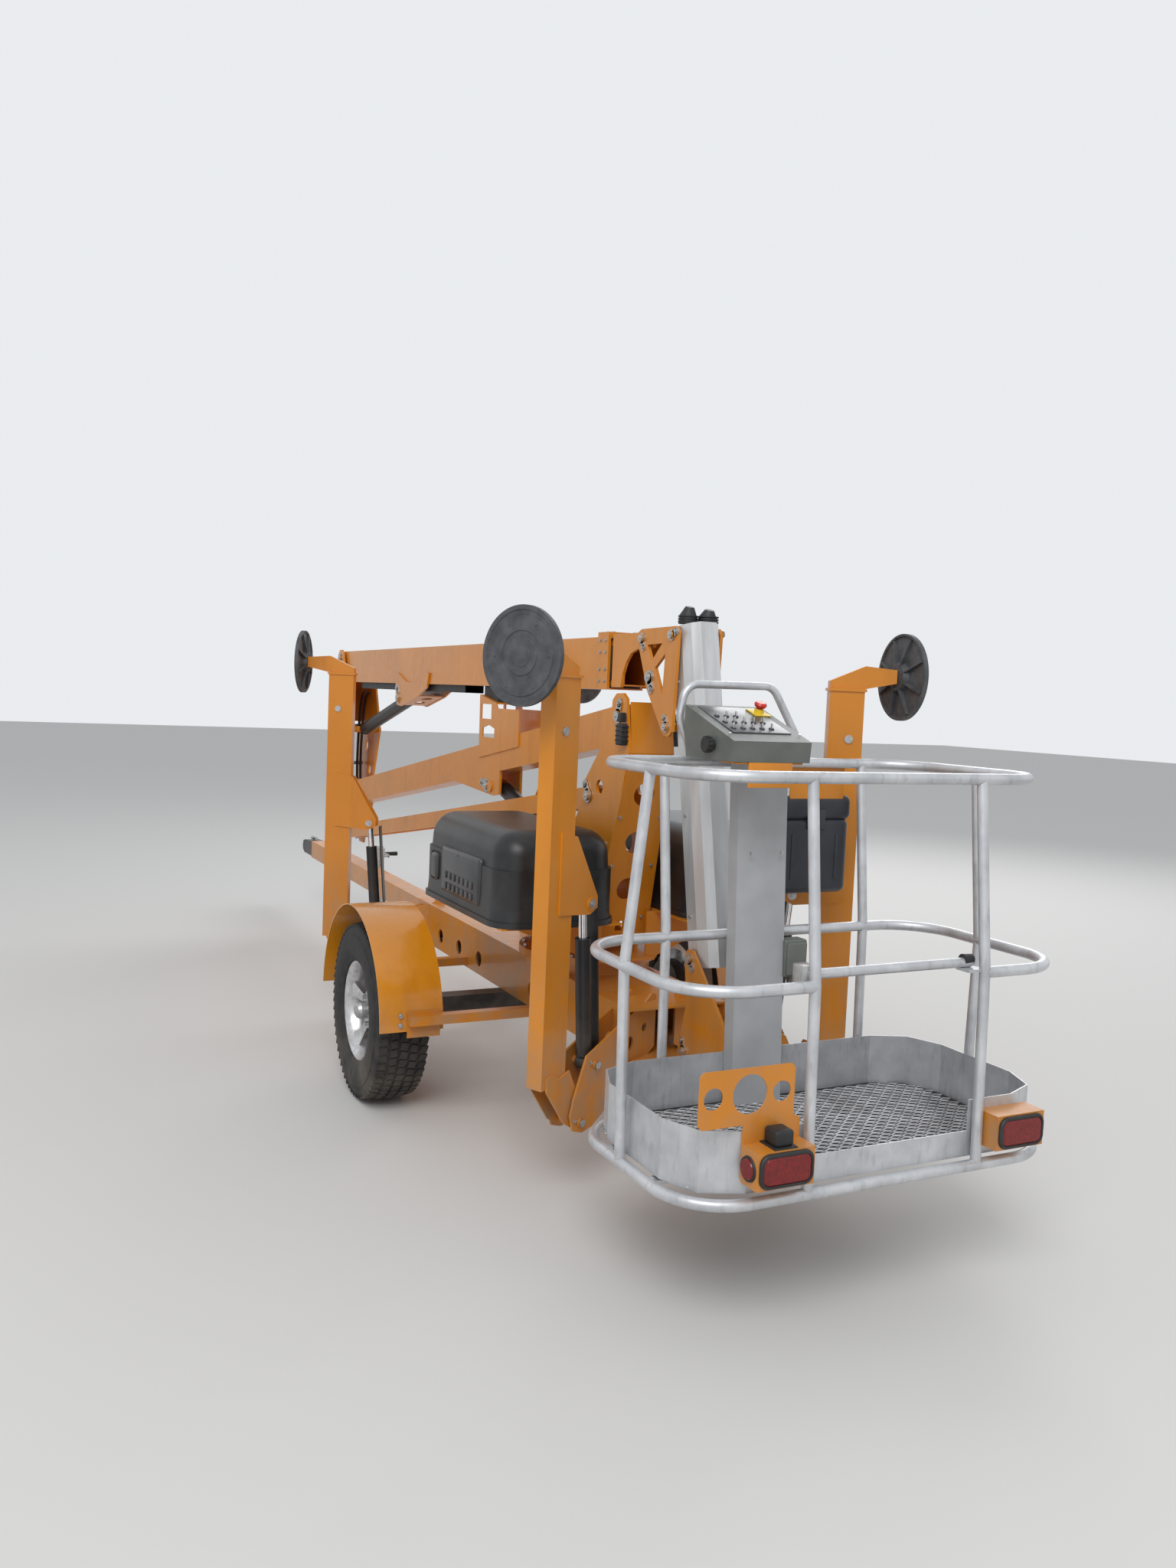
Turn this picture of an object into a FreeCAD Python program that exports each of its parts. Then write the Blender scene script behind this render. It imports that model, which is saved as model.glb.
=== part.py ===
import FreeCAD, Part
import math
import os
import re
import Sketcher

# A towable articulating boom lift: a two-wheel trailer frame with four fold-down outriggers, a turntable
# and leaning tower, a riser parallelogram, a telescoping main boom, a jib and a railed work platform.
# Millimetres. X to the machine's right, Y ahead towards the hitch, Z up, ground at Z = 0. Pieces are placed
# from the wheel axle; the whole is then shifted along Y so that its middle lies over the origin.

os.makedirs("parts", exist_ok=True)
doc = FreeCAD.newDocument("boom_lift")
sheet = doc.addObject("Spreadsheet::Sheet", "Dims")

# Each row: name, value, what it measures
DIMS = (
    # Wheels and axle
    ("wheel_rad", 360, "tyre outer radius, a 15 inch trailer tyre"),
    ("tyre_wide", 225, "tyre width"),
    ("tyre_bead", 196, "radius where the tyre meets the rim"),
    ("track_half", 747, "axle middle to tyre middle"),
    ("rim_wide", 165, "rim width between flanges"),
    ("rim_lip", 206, "rim flange radius"),
    ("rim_wall", 8, "rim metal thickness"),
    ("hub_rad", 55, "wheel hub radius"),
    ("cap_rad", 36, "hub cap radius"),
    ("axle_side", 80, "square axle tube"),
    ("axle_high", 360, "axle centre above ground"),
    ("axle_out", 600, "axle tube half length"),
    ("drum_rad", 125, "brake drum radius"),
    ("drum_wide", 55, "brake drum width"),
    ("run_gap", 6, "running clearance of a wheel"),
    ("spindle_rad", 30, "wheel spindle radius"),
    ("spindle_set", -5, "spindle's blind end from the wheel's middle"),
    # Trailer frame
    ("spine_half", 200, "half width of the centre box"),
    ("spine_low", 400.3, "underside of the centre box"),
    ("spine_top", 600, "top of the centre box"),
    ("spine_back", 1130, "centre box reach behind the axle"),
    ("spine_ahead", 1170, "centre box reach ahead of the axle"),
    ("plate", 8, "frame plate thickness"),
    ("side_hole", 34, "radius of the lightening holes in the frame's sides"),
    ("side_hole_high", 470, "height of those holes"),
    ("tongue_half", 55, "half width of the drawbar tube"),
    ("tongue_low", 400, "underside of the drawbar"),
    ("tongue_tall", 120, "height of the drawbar tube"),
    ("tongue_wall", 7, "drawbar wall"),
    ("nose_ahead", 4440, "coupler tip ahead of the axle"),
    ("coupler_long", 310, "coupler length"),
    ("ball_rad", 29.5, "socket radius for a 58 mm ball shank space"),
    ("fender_rad", 435, "fender outer radius"),
    ("fender_wide", 250, "fender width"),
    ("fender_skin", 4, "fender sheet"),
    ("fender_end", 3, "fender edges above the axle, degrees"),
    # Outriggers, in each one's own upright plane
    ("leg_rear_x", 554, "left rear leg from the middle"),
    ("leg_right_x", 570, "right rear leg from the middle"),
    ("leg_rear_y", 1240, "rear leg behind the axle"),
    ("leg_front_x", 600, "front leg from the middle"),
    ("leg_front_y", 1284, "front leg ahead of the axle"),
    ("splay", 27, "outrigger direction from the X axis, degrees"),
    ("leg_deep", 123, "leg box, outward"),
    ("leg_wide", 62, "leg box, sideways"),
    ("leg_wall", 5, "leg wall"),
    ("leg_foot", 405, "lower end of the leg box"),
    ("leg_top", 1730, "upper end of the leg box"),
    ("leg_cap", 10, "cap plate"),
    ("gusset", 6, "leg gusset plate"),
    ("hinge_in", 130, "leg hinge inward of the leg"),
    ("hinge_high", 260, "leg hinge above ground"),
    ("ram_in", 205, "cylinder base pin inward of the leg"),
    ("ram_high", 440, "cylinder base pin above ground"),
    ("eye_in", 160, "rod eye inward of the leg"),
    ("eye_high", 990, "rod eye above ground"),
    ("pin_rad", 15, "outrigger pins"),
    ("pin_play", 0.3, "clearance round every moving pin"),
    ("ram_rad", 27, "outrigger cylinder radius"),
    ("ram_wall", 6, "outrigger cylinder wall"),
    ("ram_long", 430, "outrigger cylinder length from its pin"),
    ("rod_rad", 15, "outrigger rod radius"),
    ("rod_in", 90, "rod's inner end from the base pin"),
    ("bracket_gap", 41, "frame bracket plates from the leg's plane"),
    ("bracket_in", 560, "frame bracket plates reach inward of the leg"),
    ("pad_rad", 155, "foot pad radius"),
    ("pad_out", 200, "foot pad ahead of the leg"),
    ("pad_swing", 18, "right rear foot turned on its ball, degrees"),
    ("pad_rise", 58, "foot pad centre above the leg's end, folded"),
    # Turntable and tower
    ("turn_back", 400, "turning axis behind the axle"),
    ("turn_rad", 280, "turntable ring radius"),
    ("turn_low", 640, "underside of the turning ring"),
    ("turn_thick", 30, "turning ring thickness"),
    ("tray_high", 855, "battery tray underside"),
    ("tower_in", 84, "inner face of the tower's side plates from the middle"),
    ("tower_plate", 12, "tower side plate"),
    ("tower_flange", 33, "tower rear plate beyond its side plates, at the foot"),
    ("arm_pin_back", 765, "riser arm pin behind the axle"),
    ("arm_pin_high", 1605, "riser arm pin above ground"),
    ("link_back", 540, "lower link pin behind the axle"),
    ("link_high", 1290, "lower link pin above ground"),
    ("lift_back", 420, "riser cylinder base pin behind the axle"),
    ("lift_high", 950, "riser cylinder base pin above ground"),
    ("big_pin", 20, "tower and upright pin radius"),
    ("cover_in", 150, "cover's inner side from the middle"),
    ("cover_out", 620, "cover's outer side from the middle"),
    ("cover_back", 950, "cover's rear behind the axle"),
    ("cover_long", 850, "cover length"),
    ("cover_low", 861.3, "cover's bottom rim"),
    ("cover_tall", 335, "cover height"),
    ("cover_skin", 5, "cover thickness"),
    # Riser
    ("arm_half", 58, "riser arm half width"),
    ("arm_tall", 148, "riser arm height"),
    ("arm_wall", 6, "riser arm wall"),
    ("arm_sink", 22, "arm box centre below the line of its pins"),
    ("cradle_back", 1025, "boom rest's rear edge ahead of the riser arm's pin"),
    ("cradle_long", 490, "boom rest length"),
    ("cradle_plate", 6, "boom rest plate"),
    ("rest_high", 43, "rubber rest under the boom"),
    ("arm_long", 3880, "riser arm between its pins"),
    ("arm_slope", 9, "riser arm slope down to the front, degrees"),
    ("link_tall", 80, "lower link height"),
    ("link_in", 44, "lower link bars, inner face from the middle"),
    ("link_bar", 18, "lower link bar thickness"),
    ("lift_along", 1397, "riser rod pin along the arm"),
    ("lift_under", 158, "riser rod pin under the arm's line"),
    ("lift_rad", 35, "riser cylinder radius"),
    ("lift_rod", 22, "riser rod radius"),
    # Upright
    ("upright_in", 82, "inner face of the upright's plates"),
    ("upright_plate", 12, "upright plate"),
    ("boom_pin_lead", 218, "boom pivot ahead of the riser arm's front pin"),
    ("boom_pin_rise", 156, "boom pivot above the boom's underside"),
    ("boom_ram_trail", 67, "boom cylinder base pin behind the riser arm's front pin"),
    ("boom_ram_drop", 306, "boom cylinder base pin below the boom's underside"),
    # Booms
    ("boom_half", 72, "outer boom half width"),
    ("boom_low", 1704, "outer boom underside"),
    ("boom_tall", 200, "outer boom height"),
    ("boom_wall", 5, "outer boom wall"),
    ("boom_back", 620, "outer boom's rear end behind the axle"),
    ("saddle_trail", 1275, "boom cylinder's rod pin behind the boom pivot"),
    ("saddle_drop", 82, "boom cylinder's rod pin below the boom's underside"),
    ("boom_ram_rad", 38, "boom cylinder radius"),
    ("saddle_plate", 10, "saddle plate"),
    ("duct_tall", 38, "hose duct under the boom"),
    ("duct_half", 50, "hose duct half width"),
    ("boom_rod_rad", 22, "boom rod radius"),
    ("fly_half", 59, "inner boom half width"),
    ("fly_room", 9, "room between inner and outer boom, above and below"),
    ("fly_wall", 5, "inner boom wall"),
    ("fly_long", 3100, "inner boom length"),
    ("head_back", 958, "boom head's rear edge behind the axle"),
    ("head_plate", 12, "boom head side plate"),
    # Knuckle and jib
    ("knuckle_in", 78, "inner face of the knuckle plates"),
    ("knuckle_plate", 12, "knuckle plate"),
    ("a_back", 913, "knuckle's upper pin behind the axle"),
    ("a_rise", 185, "knuckle's upper pin above the boom's underside"),
    ("jib_pin_back", 1122, "jib pin behind the axle"),
    ("jib_pin_rise", 6, "jib pin above the knuckle's upper pin"),
    ("c_back", 976, "levelling pin behind the axle"),
    ("c_drop", 139, "levelling pin below the knuckle's upper pin"),
    ("d_back", 1109, "jib link pin behind the axle"),
    ("d_drop", 310, "jib link pin below the knuckle's upper pin"),
    ("small_pin", 14, "jib pin radius"),
    ("jib_lean", 11, "jib's lean, degrees"),
    ("jib_long", 1100, "jib between its pins"),
    ("jib_half", 70, "jib tube half width"),
    ("jib_deep", 135, "jib tube depth"),
    ("jib_set", 42, "jib tube's front face behind its pins' line"),
    ("jib_wall", 5, "jib tube wall"),
    ("link_thick", 20, "jib link half depth"),
    # Platform
    ("plat_front", 1545, "front rail behind the axle"),
    ("plat_deep", 675, "rail loops, front to rear"),
    ("plat_shift", 42, "platform middle to the right of the machine's middle"),
    ("mid_half", 655, "middle rail half width"),
    ("mid_lead", 11.5, "middle rail ahead of the bottom rail"),
    ("low_half", 642, "bottom rail half width"),
    ("top_half", 600, "top rail half width"),
    ("top_lead", 70, "top rail ahead of the bottom rail"),
    ("plat_corner", 185, "rail corner radius"),
    ("rail_rad", 16.5, "rail tube radius"),
    ("rail_wall", 3, "rail tube wall"),
    ("rail_low", 385, "bottom rail height"),
    ("rail_mid", 940, "middle rail height"),
    ("rail_top", 1485, "top rail height"),
    ("gate_left", -235, "gate post, left"),
    ("gate_right", 356, "gate post, right"),
    ("post_left", -88, "control post, left side"),
    ("post_wide", 184, "control post width"),
    ("post_deep", 50, "control post depth"),
    ("hoop_rise", 240, "guard hoop above the top rail"),
    ("floor_high", 407.3, "platform floor"),
    ("kick_tall", 165, "toe board height"),
    ("post_lean", 2.8, "control post leans ahead, degrees"),
    ("sill_tall", 75, "toe board height in the gateway"),
    ("sheet_metal", 3, "platform sheet"),
    ("lamp_deep", 72, "tail lamps behind the rear rail"),
    ("gate_rad", 14, "gate bar radius"),
    ("gate_inset", 48, "gate bar inside the bottom rail"),
    ("gate_pin", 6, "gate pivot radius"),
)


def fill_sheet():
    """Write every driving dimension into the sheet with its name."""
    for row, (alias, value, note) in enumerate(DIMS, start=1):
        sheet.set(f"A{row}", alias)
        sheet.set(f"B{row}", str(value))
        sheet.set(f"C{row}", note)
        sheet.setAlias(f"B{row}", alias)
    doc.recompute()


fill_sheet()
NAMES = sorted((row[0] for row in DIMS), key=len, reverse=True)
ALIAS = re.compile(r"\b(" + "|".join(NAMES) + r")\b")
V = FreeCAD.Vector

# The axle's place along Y, so that the hitch's tip and the tail lamps lie as far from the origin
AXLE = "((plat_front + plat_deep - rail_rad + 0.6 + lamp_deep - nose_ahead) / 2)"


def size(name):
    """A driving dimension's value."""
    return float(sheet.get(name))


def bind(text):
    """An expression on the sheet, from one that uses the bare names."""
    return ALIAS.sub(r"Dims.\1", str(text))


AXLE_Y = (size("plat_front") + size("plat_deep") - size("rail_rad") + 0.6 + size("lamp_deep") - size("nose_ahead")) / 2


# Sketches and solids

def draw(sketch, points, circles=()):
    """A closed outline of straight lines, with round holes; every point and radius is bound to the sheet."""
    count = len(points)
    start = []
    for i in range(count):
        turn = 2 * math.pi * i / count
        start.append(V(100 * math.cos(turn), 100 * math.sin(turn), 0))
    for i in range(count):
        sketch.addGeometry(Part.LineSegment(start[i], start[(i + 1) % count]), False)
    for i in range(count):
        sketch.addConstraint(Sketcher.Constraint("Coincident", i, 2, (i + 1) % count, 1))
    for i, (across, up) in enumerate(points):
        pin = sketch.addConstraint(Sketcher.Constraint("DistanceX", -1, 1, i, 1, start[i].x))
        sketch.setExpression(f"Constraints[{pin}]", bind(across))
        pin = sketch.addConstraint(Sketcher.Constraint("DistanceY", -1, 1, i, 1, start[i].y))
        sketch.setExpression(f"Constraints[{pin}]", bind(up))
    for across, up, radius in circles:
        ring = sketch.addGeometry(Part.Circle(V(7, 3, 0), V(0, 0, 1), 5), False)
        pin = sketch.addConstraint(Sketcher.Constraint("DistanceX", -1, 1, ring, 3, 7))
        sketch.setExpression(f"Constraints[{pin}]", bind(across))
        pin = sketch.addConstraint(Sketcher.Constraint("DistanceY", -1, 1, ring, 3, 3))
        sketch.setExpression(f"Constraints[{pin}]", bind(up))
        pin = sketch.addConstraint(Sketcher.Constraint("Radius", ring, 5))
        sketch.setExpression(f"Constraints[{pin}]", bind(radius))


def box_points(left, low, right, top):
    """The four corners of an upright rectangle."""
    return [(left, low), (right, low), (right, top), (left, top)]


def body_of(name):
    """An empty body that may hold solids which don't touch."""
    body = doc.addObject("PartDesign::Body", name)
    body.AllowCompound = True
    return body


def sketch_on(body, plane, points, circles=(), offset=0):
    """A sketch on one of the body's own origin planes, moved along the plane's normal by offset."""
    sketch = body.newObject("Sketcher::SketchObject", "outline")
    support = [item for item in body.Origin.OriginFeatures if item.Role == plane][0]
    sketch.AttachmentSupport = (support, [""])
    sketch.MapMode = "FlatFace"
    if offset != 0:
        sketch.setExpression("AttachmentOffset.Base.z", bind(offset))
    draw(sketch, points, circles)
    return sketch


def pad(body, plane, points, length, circles=(), offset=0, middle=False):
    """Extrude an outline along its plane's normal, or to both sides alike."""
    feature = body.newObject("PartDesign::Pad", "pad")
    feature.Profile = sketch_on(body, plane, points, circles, offset)
    feature.setExpression("Length", bind(length))
    feature.Midplane = middle
    return feature


def pocket(body, plane, points, length, circles=(), offset=0):
    """Cut an outline to both sides of its plane."""
    feature = body.newObject("PartDesign::Pocket", "pocket")
    feature.Profile = sketch_on(body, plane, points, circles, offset)
    feature.setExpression("Length", bind(length))
    feature.Midplane = True
    return feature


def round_cut(body, plane, circles, length, offset=0):
    """Cut round holes to both sides of a plane."""
    sketch = sketch_on(body, plane, [], circles, offset)
    feature = body.newObject("PartDesign::Pocket", "bore")
    feature.Profile = sketch
    feature.setExpression("Length", bind(length))
    feature.Midplane = True
    return feature


def pin_pad(body, plane, across, up, radius, length, offset=0):
    """A round pin or boss that stands out alike on both sides of its plane."""
    sketch = sketch_on(body, plane, [], [(across, up, radius)], offset)
    feature = body.newObject("PartDesign::Pad", "pin")
    feature.Profile = sketch
    feature.setExpression("Length", bind(length))
    feature.Midplane = True
    return feature


def revolve(body, plane, points, axis="H_Axis"):
    """Turn an outline once round its sketch's own axis."""
    feature = body.newObject("PartDesign::Revolution", "turned")
    sketch = sketch_on(body, plane, points)
    feature.Profile = sketch
    feature.ReferenceAxis = (sketch, [axis])
    feature.Angle = 360
    return feature


def place(obj, across="0", ahead="0", up="0", axis=None, degrees="0"):
    """Put an object at a place measured from the axle, turned about one axis."""
    if axis is not None:
        obj.Placement = FreeCAD.Placement(V(0, 0, 0), FreeCAD.Rotation(axis, 1))
        obj.setExpression("Placement.Rotation.Angle", bind(f"({degrees}) * 1 deg"))
    obj.setExpression("Placement.Base.x", bind(across))
    obj.setExpression("Placement.Base.y", bind(f"{AXLE} + {ahead}"))
    obj.setExpression("Placement.Base.z", bind(up))


NODES = {}


def node(name, obj):
    """Name a finished sub-part; its label names its file."""
    obj.Label = name
    NODES[name] = obj
    return obj


def fused(name, pieces):
    """One welded sub-part from several shapes."""
    weld = doc.addObject("Part::MultiFuse", "weld")
    weld.Shapes = pieces
    return node(name, weld)


# Wheels

def make_tyre(name, side):
    """The tyre is turned round the axle from its cross-section, hollow round the rim."""
    body = body_of(name)
    half = "tyre_wide / 2"
    bead = "rim_wide / 2"
    section = [
        (f"-{bead}", "tyre_bead"), (f"-{half}", "tyre_bead + (wheel_rad - tyre_bead) * 0.5"),
        (f"-{half} + 8", "wheel_rad - 22"), (f"-{half} + 26", "wheel_rad - 6"), ("0", "wheel_rad"),
        (f"{half} - 26", "wheel_rad - 6"), (f"{half} - 8", "wheel_rad - 22"),
        (half, "tyre_bead + (wheel_rad - tyre_bead) * 0.5"), (bead, "tyre_bead"),
        (f"{bead} - 14", "tyre_bead"), (f"{half} - 16", "tyre_bead + (wheel_rad - tyre_bead) * 0.5"),
        (f"{half} - 30", "wheel_rad - 24"), (f"-{half} + 30", "wheel_rad - 24"),
        (f"-{half} + 16", "tyre_bead + (wheel_rad - tyre_bead) * 0.5"), (f"-{bead} + 14", "tyre_bead"),
    ]
    revolve(body, "XY_Plane", section)
    place(body, f"{side} * track_half", "0", "axle_high")
    return node(name, body)


def make_rim(name, side):
    """The rim is a turned barrel with a dished face and a hub."""
    body = body_of(name)
    bead = "rim_wide / 2"
    seat = "tyre_bead - 0.3"
    section = [
        (f"-{bead}", "tyre_bead - 28"), (f"-{bead}", seat), (f"-{bead} + 24", seat), ("-20", "tyre_bead - 24"),
        ("20", "tyre_bead - 24"), (f"{bead} - 24", seat), (bead, seat), (bead, "tyre_bead - 28"),
        (f"{bead} - 20", "tyre_bead - 28"), ("22", "tyre_bead - 34"), ("-18", "tyre_bead - 34"),
        (f"-{bead} + 20", "tyre_bead - 28"),
    ]
    revolve(body, "XY_Plane", section)
    inner = f"{side} * (axle_out + drum_wide + run_gap - track_half)"
    blind = f"{side} * spindle_set"
    hub = [
        (blind, "0"), (blind, "spindle_rad + pin_play"), (inner, "spindle_rad + pin_play"), (inner, "hub_rad"),
        (f"{side} * 8", "hub_rad"), (f"{side} * 30", "hub_rad + 14"),
        (f"{side} * 30", "tyre_bead - 30"), (f"{side} * 42", "tyre_bead - 30"), (f"{side} * 50", "hub_rad + 20"),
        (f"{side} * 62", "hub_rad"), (f"{side} * 62", "cap_rad"), (f"{side} * 92", "cap_rad - 5"),
        (f"{side} * 100", "cap_rad - 16"), (f"{side} * 102", "0"),
    ]
    revolve(body, "XY_Plane", hub)
    place(body, f"{side} * track_half", "0", "axle_high")
    return node(name, body)


for side, word in ((-1, "left"), (1, "right")):
    make_tyre(f"tyre_{word}", side)
    make_rim(f"rim_{word}", side)


def make_axle():
    """A square tube with a brake drum at each end, bolted up under the frame."""
    body = body_of("axle_body")
    half = "axle_side / 2"
    tube = box_points(f"-{half}", f"-{half}", half, half)
    pad(body, "YZ_Plane", tube, "2 * axle_out", middle=True)
    for side in (-1, 1):
        middle = f"{side} * (axle_out + drum_wide / 2)"
        pin_pad(body, "YZ_Plane", "0", "0", "drum_rad", "drum_wide", middle)
        reach = "(track_half + spindle_set - pin_play - axle_out)"
        pin_pad(body, "YZ_Plane", "0", "0", "spindle_rad", reach, f"{side} * (axle_out + {reach} / 2)")
    place(body, "0", "0", "axle_high")
    return node("axle", body)


make_axle()


# Trailer frame

def make_spine():
    """The frame's centre box, open at its ends, with lightening holes in its sides."""
    body = body_of("spine")
    outer = box_points("-spine_half", "spine_low", "spine_half", "spine_top")
    pad(body, "XZ_Plane", outer, "spine_back + spine_ahead", offset="-spine_ahead")
    inner = box_points("-spine_half + plate", "spine_low + plate", "spine_half - plate", "spine_top - plate")
    pocket(body, "XZ_Plane", inner, "3 * (spine_back + spine_ahead)")
    holes = []
    for ahead in (-820, -560, -300, 300, 560, 820):
        holes.append((str(ahead), "side_hole_high", "side_hole"))
    round_cut(body, "YZ_Plane", holes, "4 * spine_half")
    return body


def make_tongue():
    """The drawbar: a rectangular tube from inside the centre box to the coupler."""
    body = body_of("drawbar")
    outer = box_points("-tongue_half", "tongue_low", "tongue_half", "tongue_low + tongue_tall")
    reach = "(nose_ahead - coupler_long - spine_ahead + 120)"
    pad(body, "XZ_Plane", outer, reach, offset="-(nose_ahead - coupler_long)")
    inner = box_points("-tongue_half + tongue_wall", "tongue_low + tongue_wall",
                       "tongue_half - tongue_wall", "tongue_low + tongue_tall - tongue_wall")
    pocket(body, "XZ_Plane", inner, "4 * nose_ahead")
    return body


CORNERS = (
    # name, side, leg x, leg y, turn about Z
    ("rear_left", -1, "leg_rear_x", "-leg_rear_y", "180 + splay"),
    ("rear_right", 1, "leg_right_x", "-leg_rear_y", "-splay"),
    ("front_left", -1, "leg_front_x", "leg_front_y", "180 - splay"),
    ("front_right", 1, "leg_front_x", "leg_front_y", "splay"),
)
FOOT_SWING = {"rear_right": "pad_swing"}
UP = V(0, 0, 1)


def make_bracket(corner):
    """A pair of frame plates that holds an outrigger's hinge pin and its cylinder's base pin."""
    name, side, leg_x, leg_y, turn = corner
    body = body_of(f"bracket_{name}")
    shape = [
        ("-bracket_in", "spine_low + 30"), ("-hinge_in - 70", "hinge_high - 30"), ("-hinge_in - 12", "hinge_high - 38"),
        ("-hinge_in + 37", "hinge_high - 21"), ("-hinge_in + 53", "hinge_high + 30"),
        ("-hinge_in + 36", "hinge_high + 88"), ("-ram_in + 49", "ram_high + 38"),
        ("-ram_in - 216", "ram_high + 139"), ("-ram_in - 286", "ram_high + 159"),
        ("-ram_in - 328", "ram_high + 185"), ("-bracket_in", "ram_high + 180"),
    ]
    holes = [("-ram_in - 196", "ram_high + 31", "24"), ("-ram_in - 286", "ram_high + 72", "15")]
    for offset in ("bracket_gap", "-bracket_gap - plate"):
        pad(body, "XZ_Plane", shape, "plate", holes, offset)
    long = "2 * (bracket_gap + plate + 8)"
    pin_pad(body, "XZ_Plane", "-hinge_in", "hinge_high", "pin_rad", long)
    pin_pad(body, "XZ_Plane", "-ram_in", "ram_high", "pin_rad", long)
    return body


def place_corner(obj, corner):
    """Put a piece drawn in an outrigger's own plane at its corner of the frame."""
    name, side, leg_x, leg_y, turn = corner
    place(obj, f"{side} * {leg_x}", leg_y, "0", UP, turn)


def make_stays():
    """Cross tubes with end plates that the fenders are bolted to, behind and ahead of the axle."""
    body = body_of("stays")
    reach = "(fender_rad * cos(fender_end * 1 deg) + pin_play)"
    for way in (-1, 1):
        near = f"{way} * {reach}"
        plate_far = f"{way} * ({reach} + plate)"
        tube_far = f"{way} * ({reach} + 44)"
        for side in (-1, 1):
            inner = f"{side} * (spine_half - 4)"
            outer = f"{side} * (track_half + 20)"
            tube = [(inner, near), (outer, near), (outer, tube_far), (inner, tube_far)]
            pad(body, "XY_Plane", tube, "36", offset="spine_low + 12")
            face = [(f"{side} * (track_half - 110)", near), (outer, near), (outer, plate_far),
                    (f"{side} * (track_half - 110)", plate_far)]
            pad(body, "XY_Plane", face, "100", offset="axle_high")
    return body


def make_frame():
    """The frame weldment: centre box, drawbar, fender stays, slew base and four pairs of outrigger brackets."""
    pieces = [make_spine(), make_tongue(), make_stays()]
    base = doc.addObject("Part::Cylinder", "slew_base")
    base.setExpression("Radius", bind("turn_rad - 30"))
    base.setExpression("Height", bind("turn_low - spine_top"))
    base.setExpression("Placement.Base.y", bind("-turn_back"))
    base.setExpression("Placement.Base.z", bind("spine_top"))
    pieces.append(base)
    for piece in pieces:
        piece.setExpression("Placement.Base.y", bind(f"{AXLE} - turn_back" if piece is base else AXLE))
    for corner in CORNERS:
        bracket = make_bracket(corner)
        place_corner(bracket, corner)
        pieces.append(bracket)
    return fused("frame", pieces)


make_frame()


def make_coupler():
    """The ball coupler: a hollow nose with a socket open below."""
    body = body_of("coupler_body")
    back = "(nose_ahead - coupler_long)"
    shape = [
        (back, "tongue_low + 6"), ("nose_ahead - 60", "tongue_low + 6"), ("nose_ahead - 12", "tongue_low + 24"),
        ("nose_ahead", "tongue_low + 52"), ("nose_ahead - 20", "tongue_low + 92"),
        ("nose_ahead - 80", "tongue_low + 104"), (back, "tongue_low + tongue_tall - 4"),
    ]
    pad(body, "YZ_Plane", shape, "2 * tongue_half - 10", middle=True)
    place(body)
    sketch = sketch_on(body, "XY_Plane", [], [("0", "nose_ahead - 62", "ball_rad")], "tongue_low + 6")
    bore = body.newObject("PartDesign::Pocket", "socket")
    bore.Profile = sketch
    bore.setExpression("Length", bind("2 * 58"))
    bore.Midplane = True
    return node("coupler", body)


make_coupler()


def make_jack():
    """The screw jack beside the drawbar, its foot on the ground."""
    body = body_of("jack_body")
    tube = [
        ("0", "60"), ("22", "60"), ("22", "200"), ("30", "200"), ("30", "600"), ("34", "600"), ("34", "628"),
        ("0", "628"),
    ]
    revolve(body, "XZ_Plane", tube, "V_Axis")
    foot = [("0", "0"), ("80", "0"), ("80", "6"), ("34", "22"), ("34", "60"), ("0", "60")]
    revolve(body, "XZ_Plane", foot, "V_Axis")
    pad(body, "XY_Plane", box_points("-44", "-40", "0", "40"), "110", offset="tongue_low + 4")
    place(body, "tongue_half + 44.3", "2900", "0")
    return node("jack", body)


make_jack()


def make_fender(name, side):
    """A rolled fender over the wheel with its inner side skirt."""
    body = body_of(name)
    sketch = body.newObject("Sketcher::SketchObject", "arch")
    support = [item for item in body.Origin.OriginFeatures if item.Role == "YZ_Plane"][0]
    sketch.AttachmentSupport = (support, [""])
    sketch.MapMode = "FlatFace"
    outer = size("fender_rad")
    low = math.radians(size("fender_end"))
    high = math.pi - low
    inner = outer - size("fender_skin")
    big = sketch.addGeometry(Part.ArcOfCircle(Part.Circle(V(0, 0, 0), V(0, 0, 1), outer), low, high), False)
    small = sketch.addGeometry(Part.ArcOfCircle(Part.Circle(V(0, 0, 0), V(0, 0, 1), inner), low, high), False)

    def on_circle(radius, angle):
        return V(radius * math.cos(angle), radius * math.sin(angle), 0)

    first = sketch.addGeometry(Part.LineSegment(on_circle(inner, low), on_circle(outer, low)), False)
    last = sketch.addGeometry(Part.LineSegment(on_circle(outer, high), on_circle(inner, high)), False)
    sketch.addConstraint(Sketcher.Constraint("Coincident", small, 1, first, 1))
    sketch.addConstraint(Sketcher.Constraint("Coincident", big, 1, first, 2))
    sketch.addConstraint(Sketcher.Constraint("Coincident", big, 2, last, 1))
    sketch.addConstraint(Sketcher.Constraint("Coincident", small, 2, last, 2))
    sketch.addConstraint(Sketcher.Constraint("Coincident", big, 3, -1, 1))
    sketch.addConstraint(Sketcher.Constraint("Coincident", small, 3, -1, 1))
    pin = sketch.addConstraint(Sketcher.Constraint("Radius", big, outer))
    sketch.setExpression(f"Constraints[{pin}]", bind("fender_rad"))
    pin = sketch.addConstraint(Sketcher.Constraint("Radius", small, inner))
    sketch.setExpression(f"Constraints[{pin}]", bind("fender_rad - fender_skin"))
    arch = body.newObject("PartDesign::Pad", "arch_pad")
    arch.Profile = sketch
    arch.setExpression("Length", bind("fender_wide"))
    arch.Midplane = True
    place(body, f"{side} * track_half", "0", "axle_high")
    return node(name, body)


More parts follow.
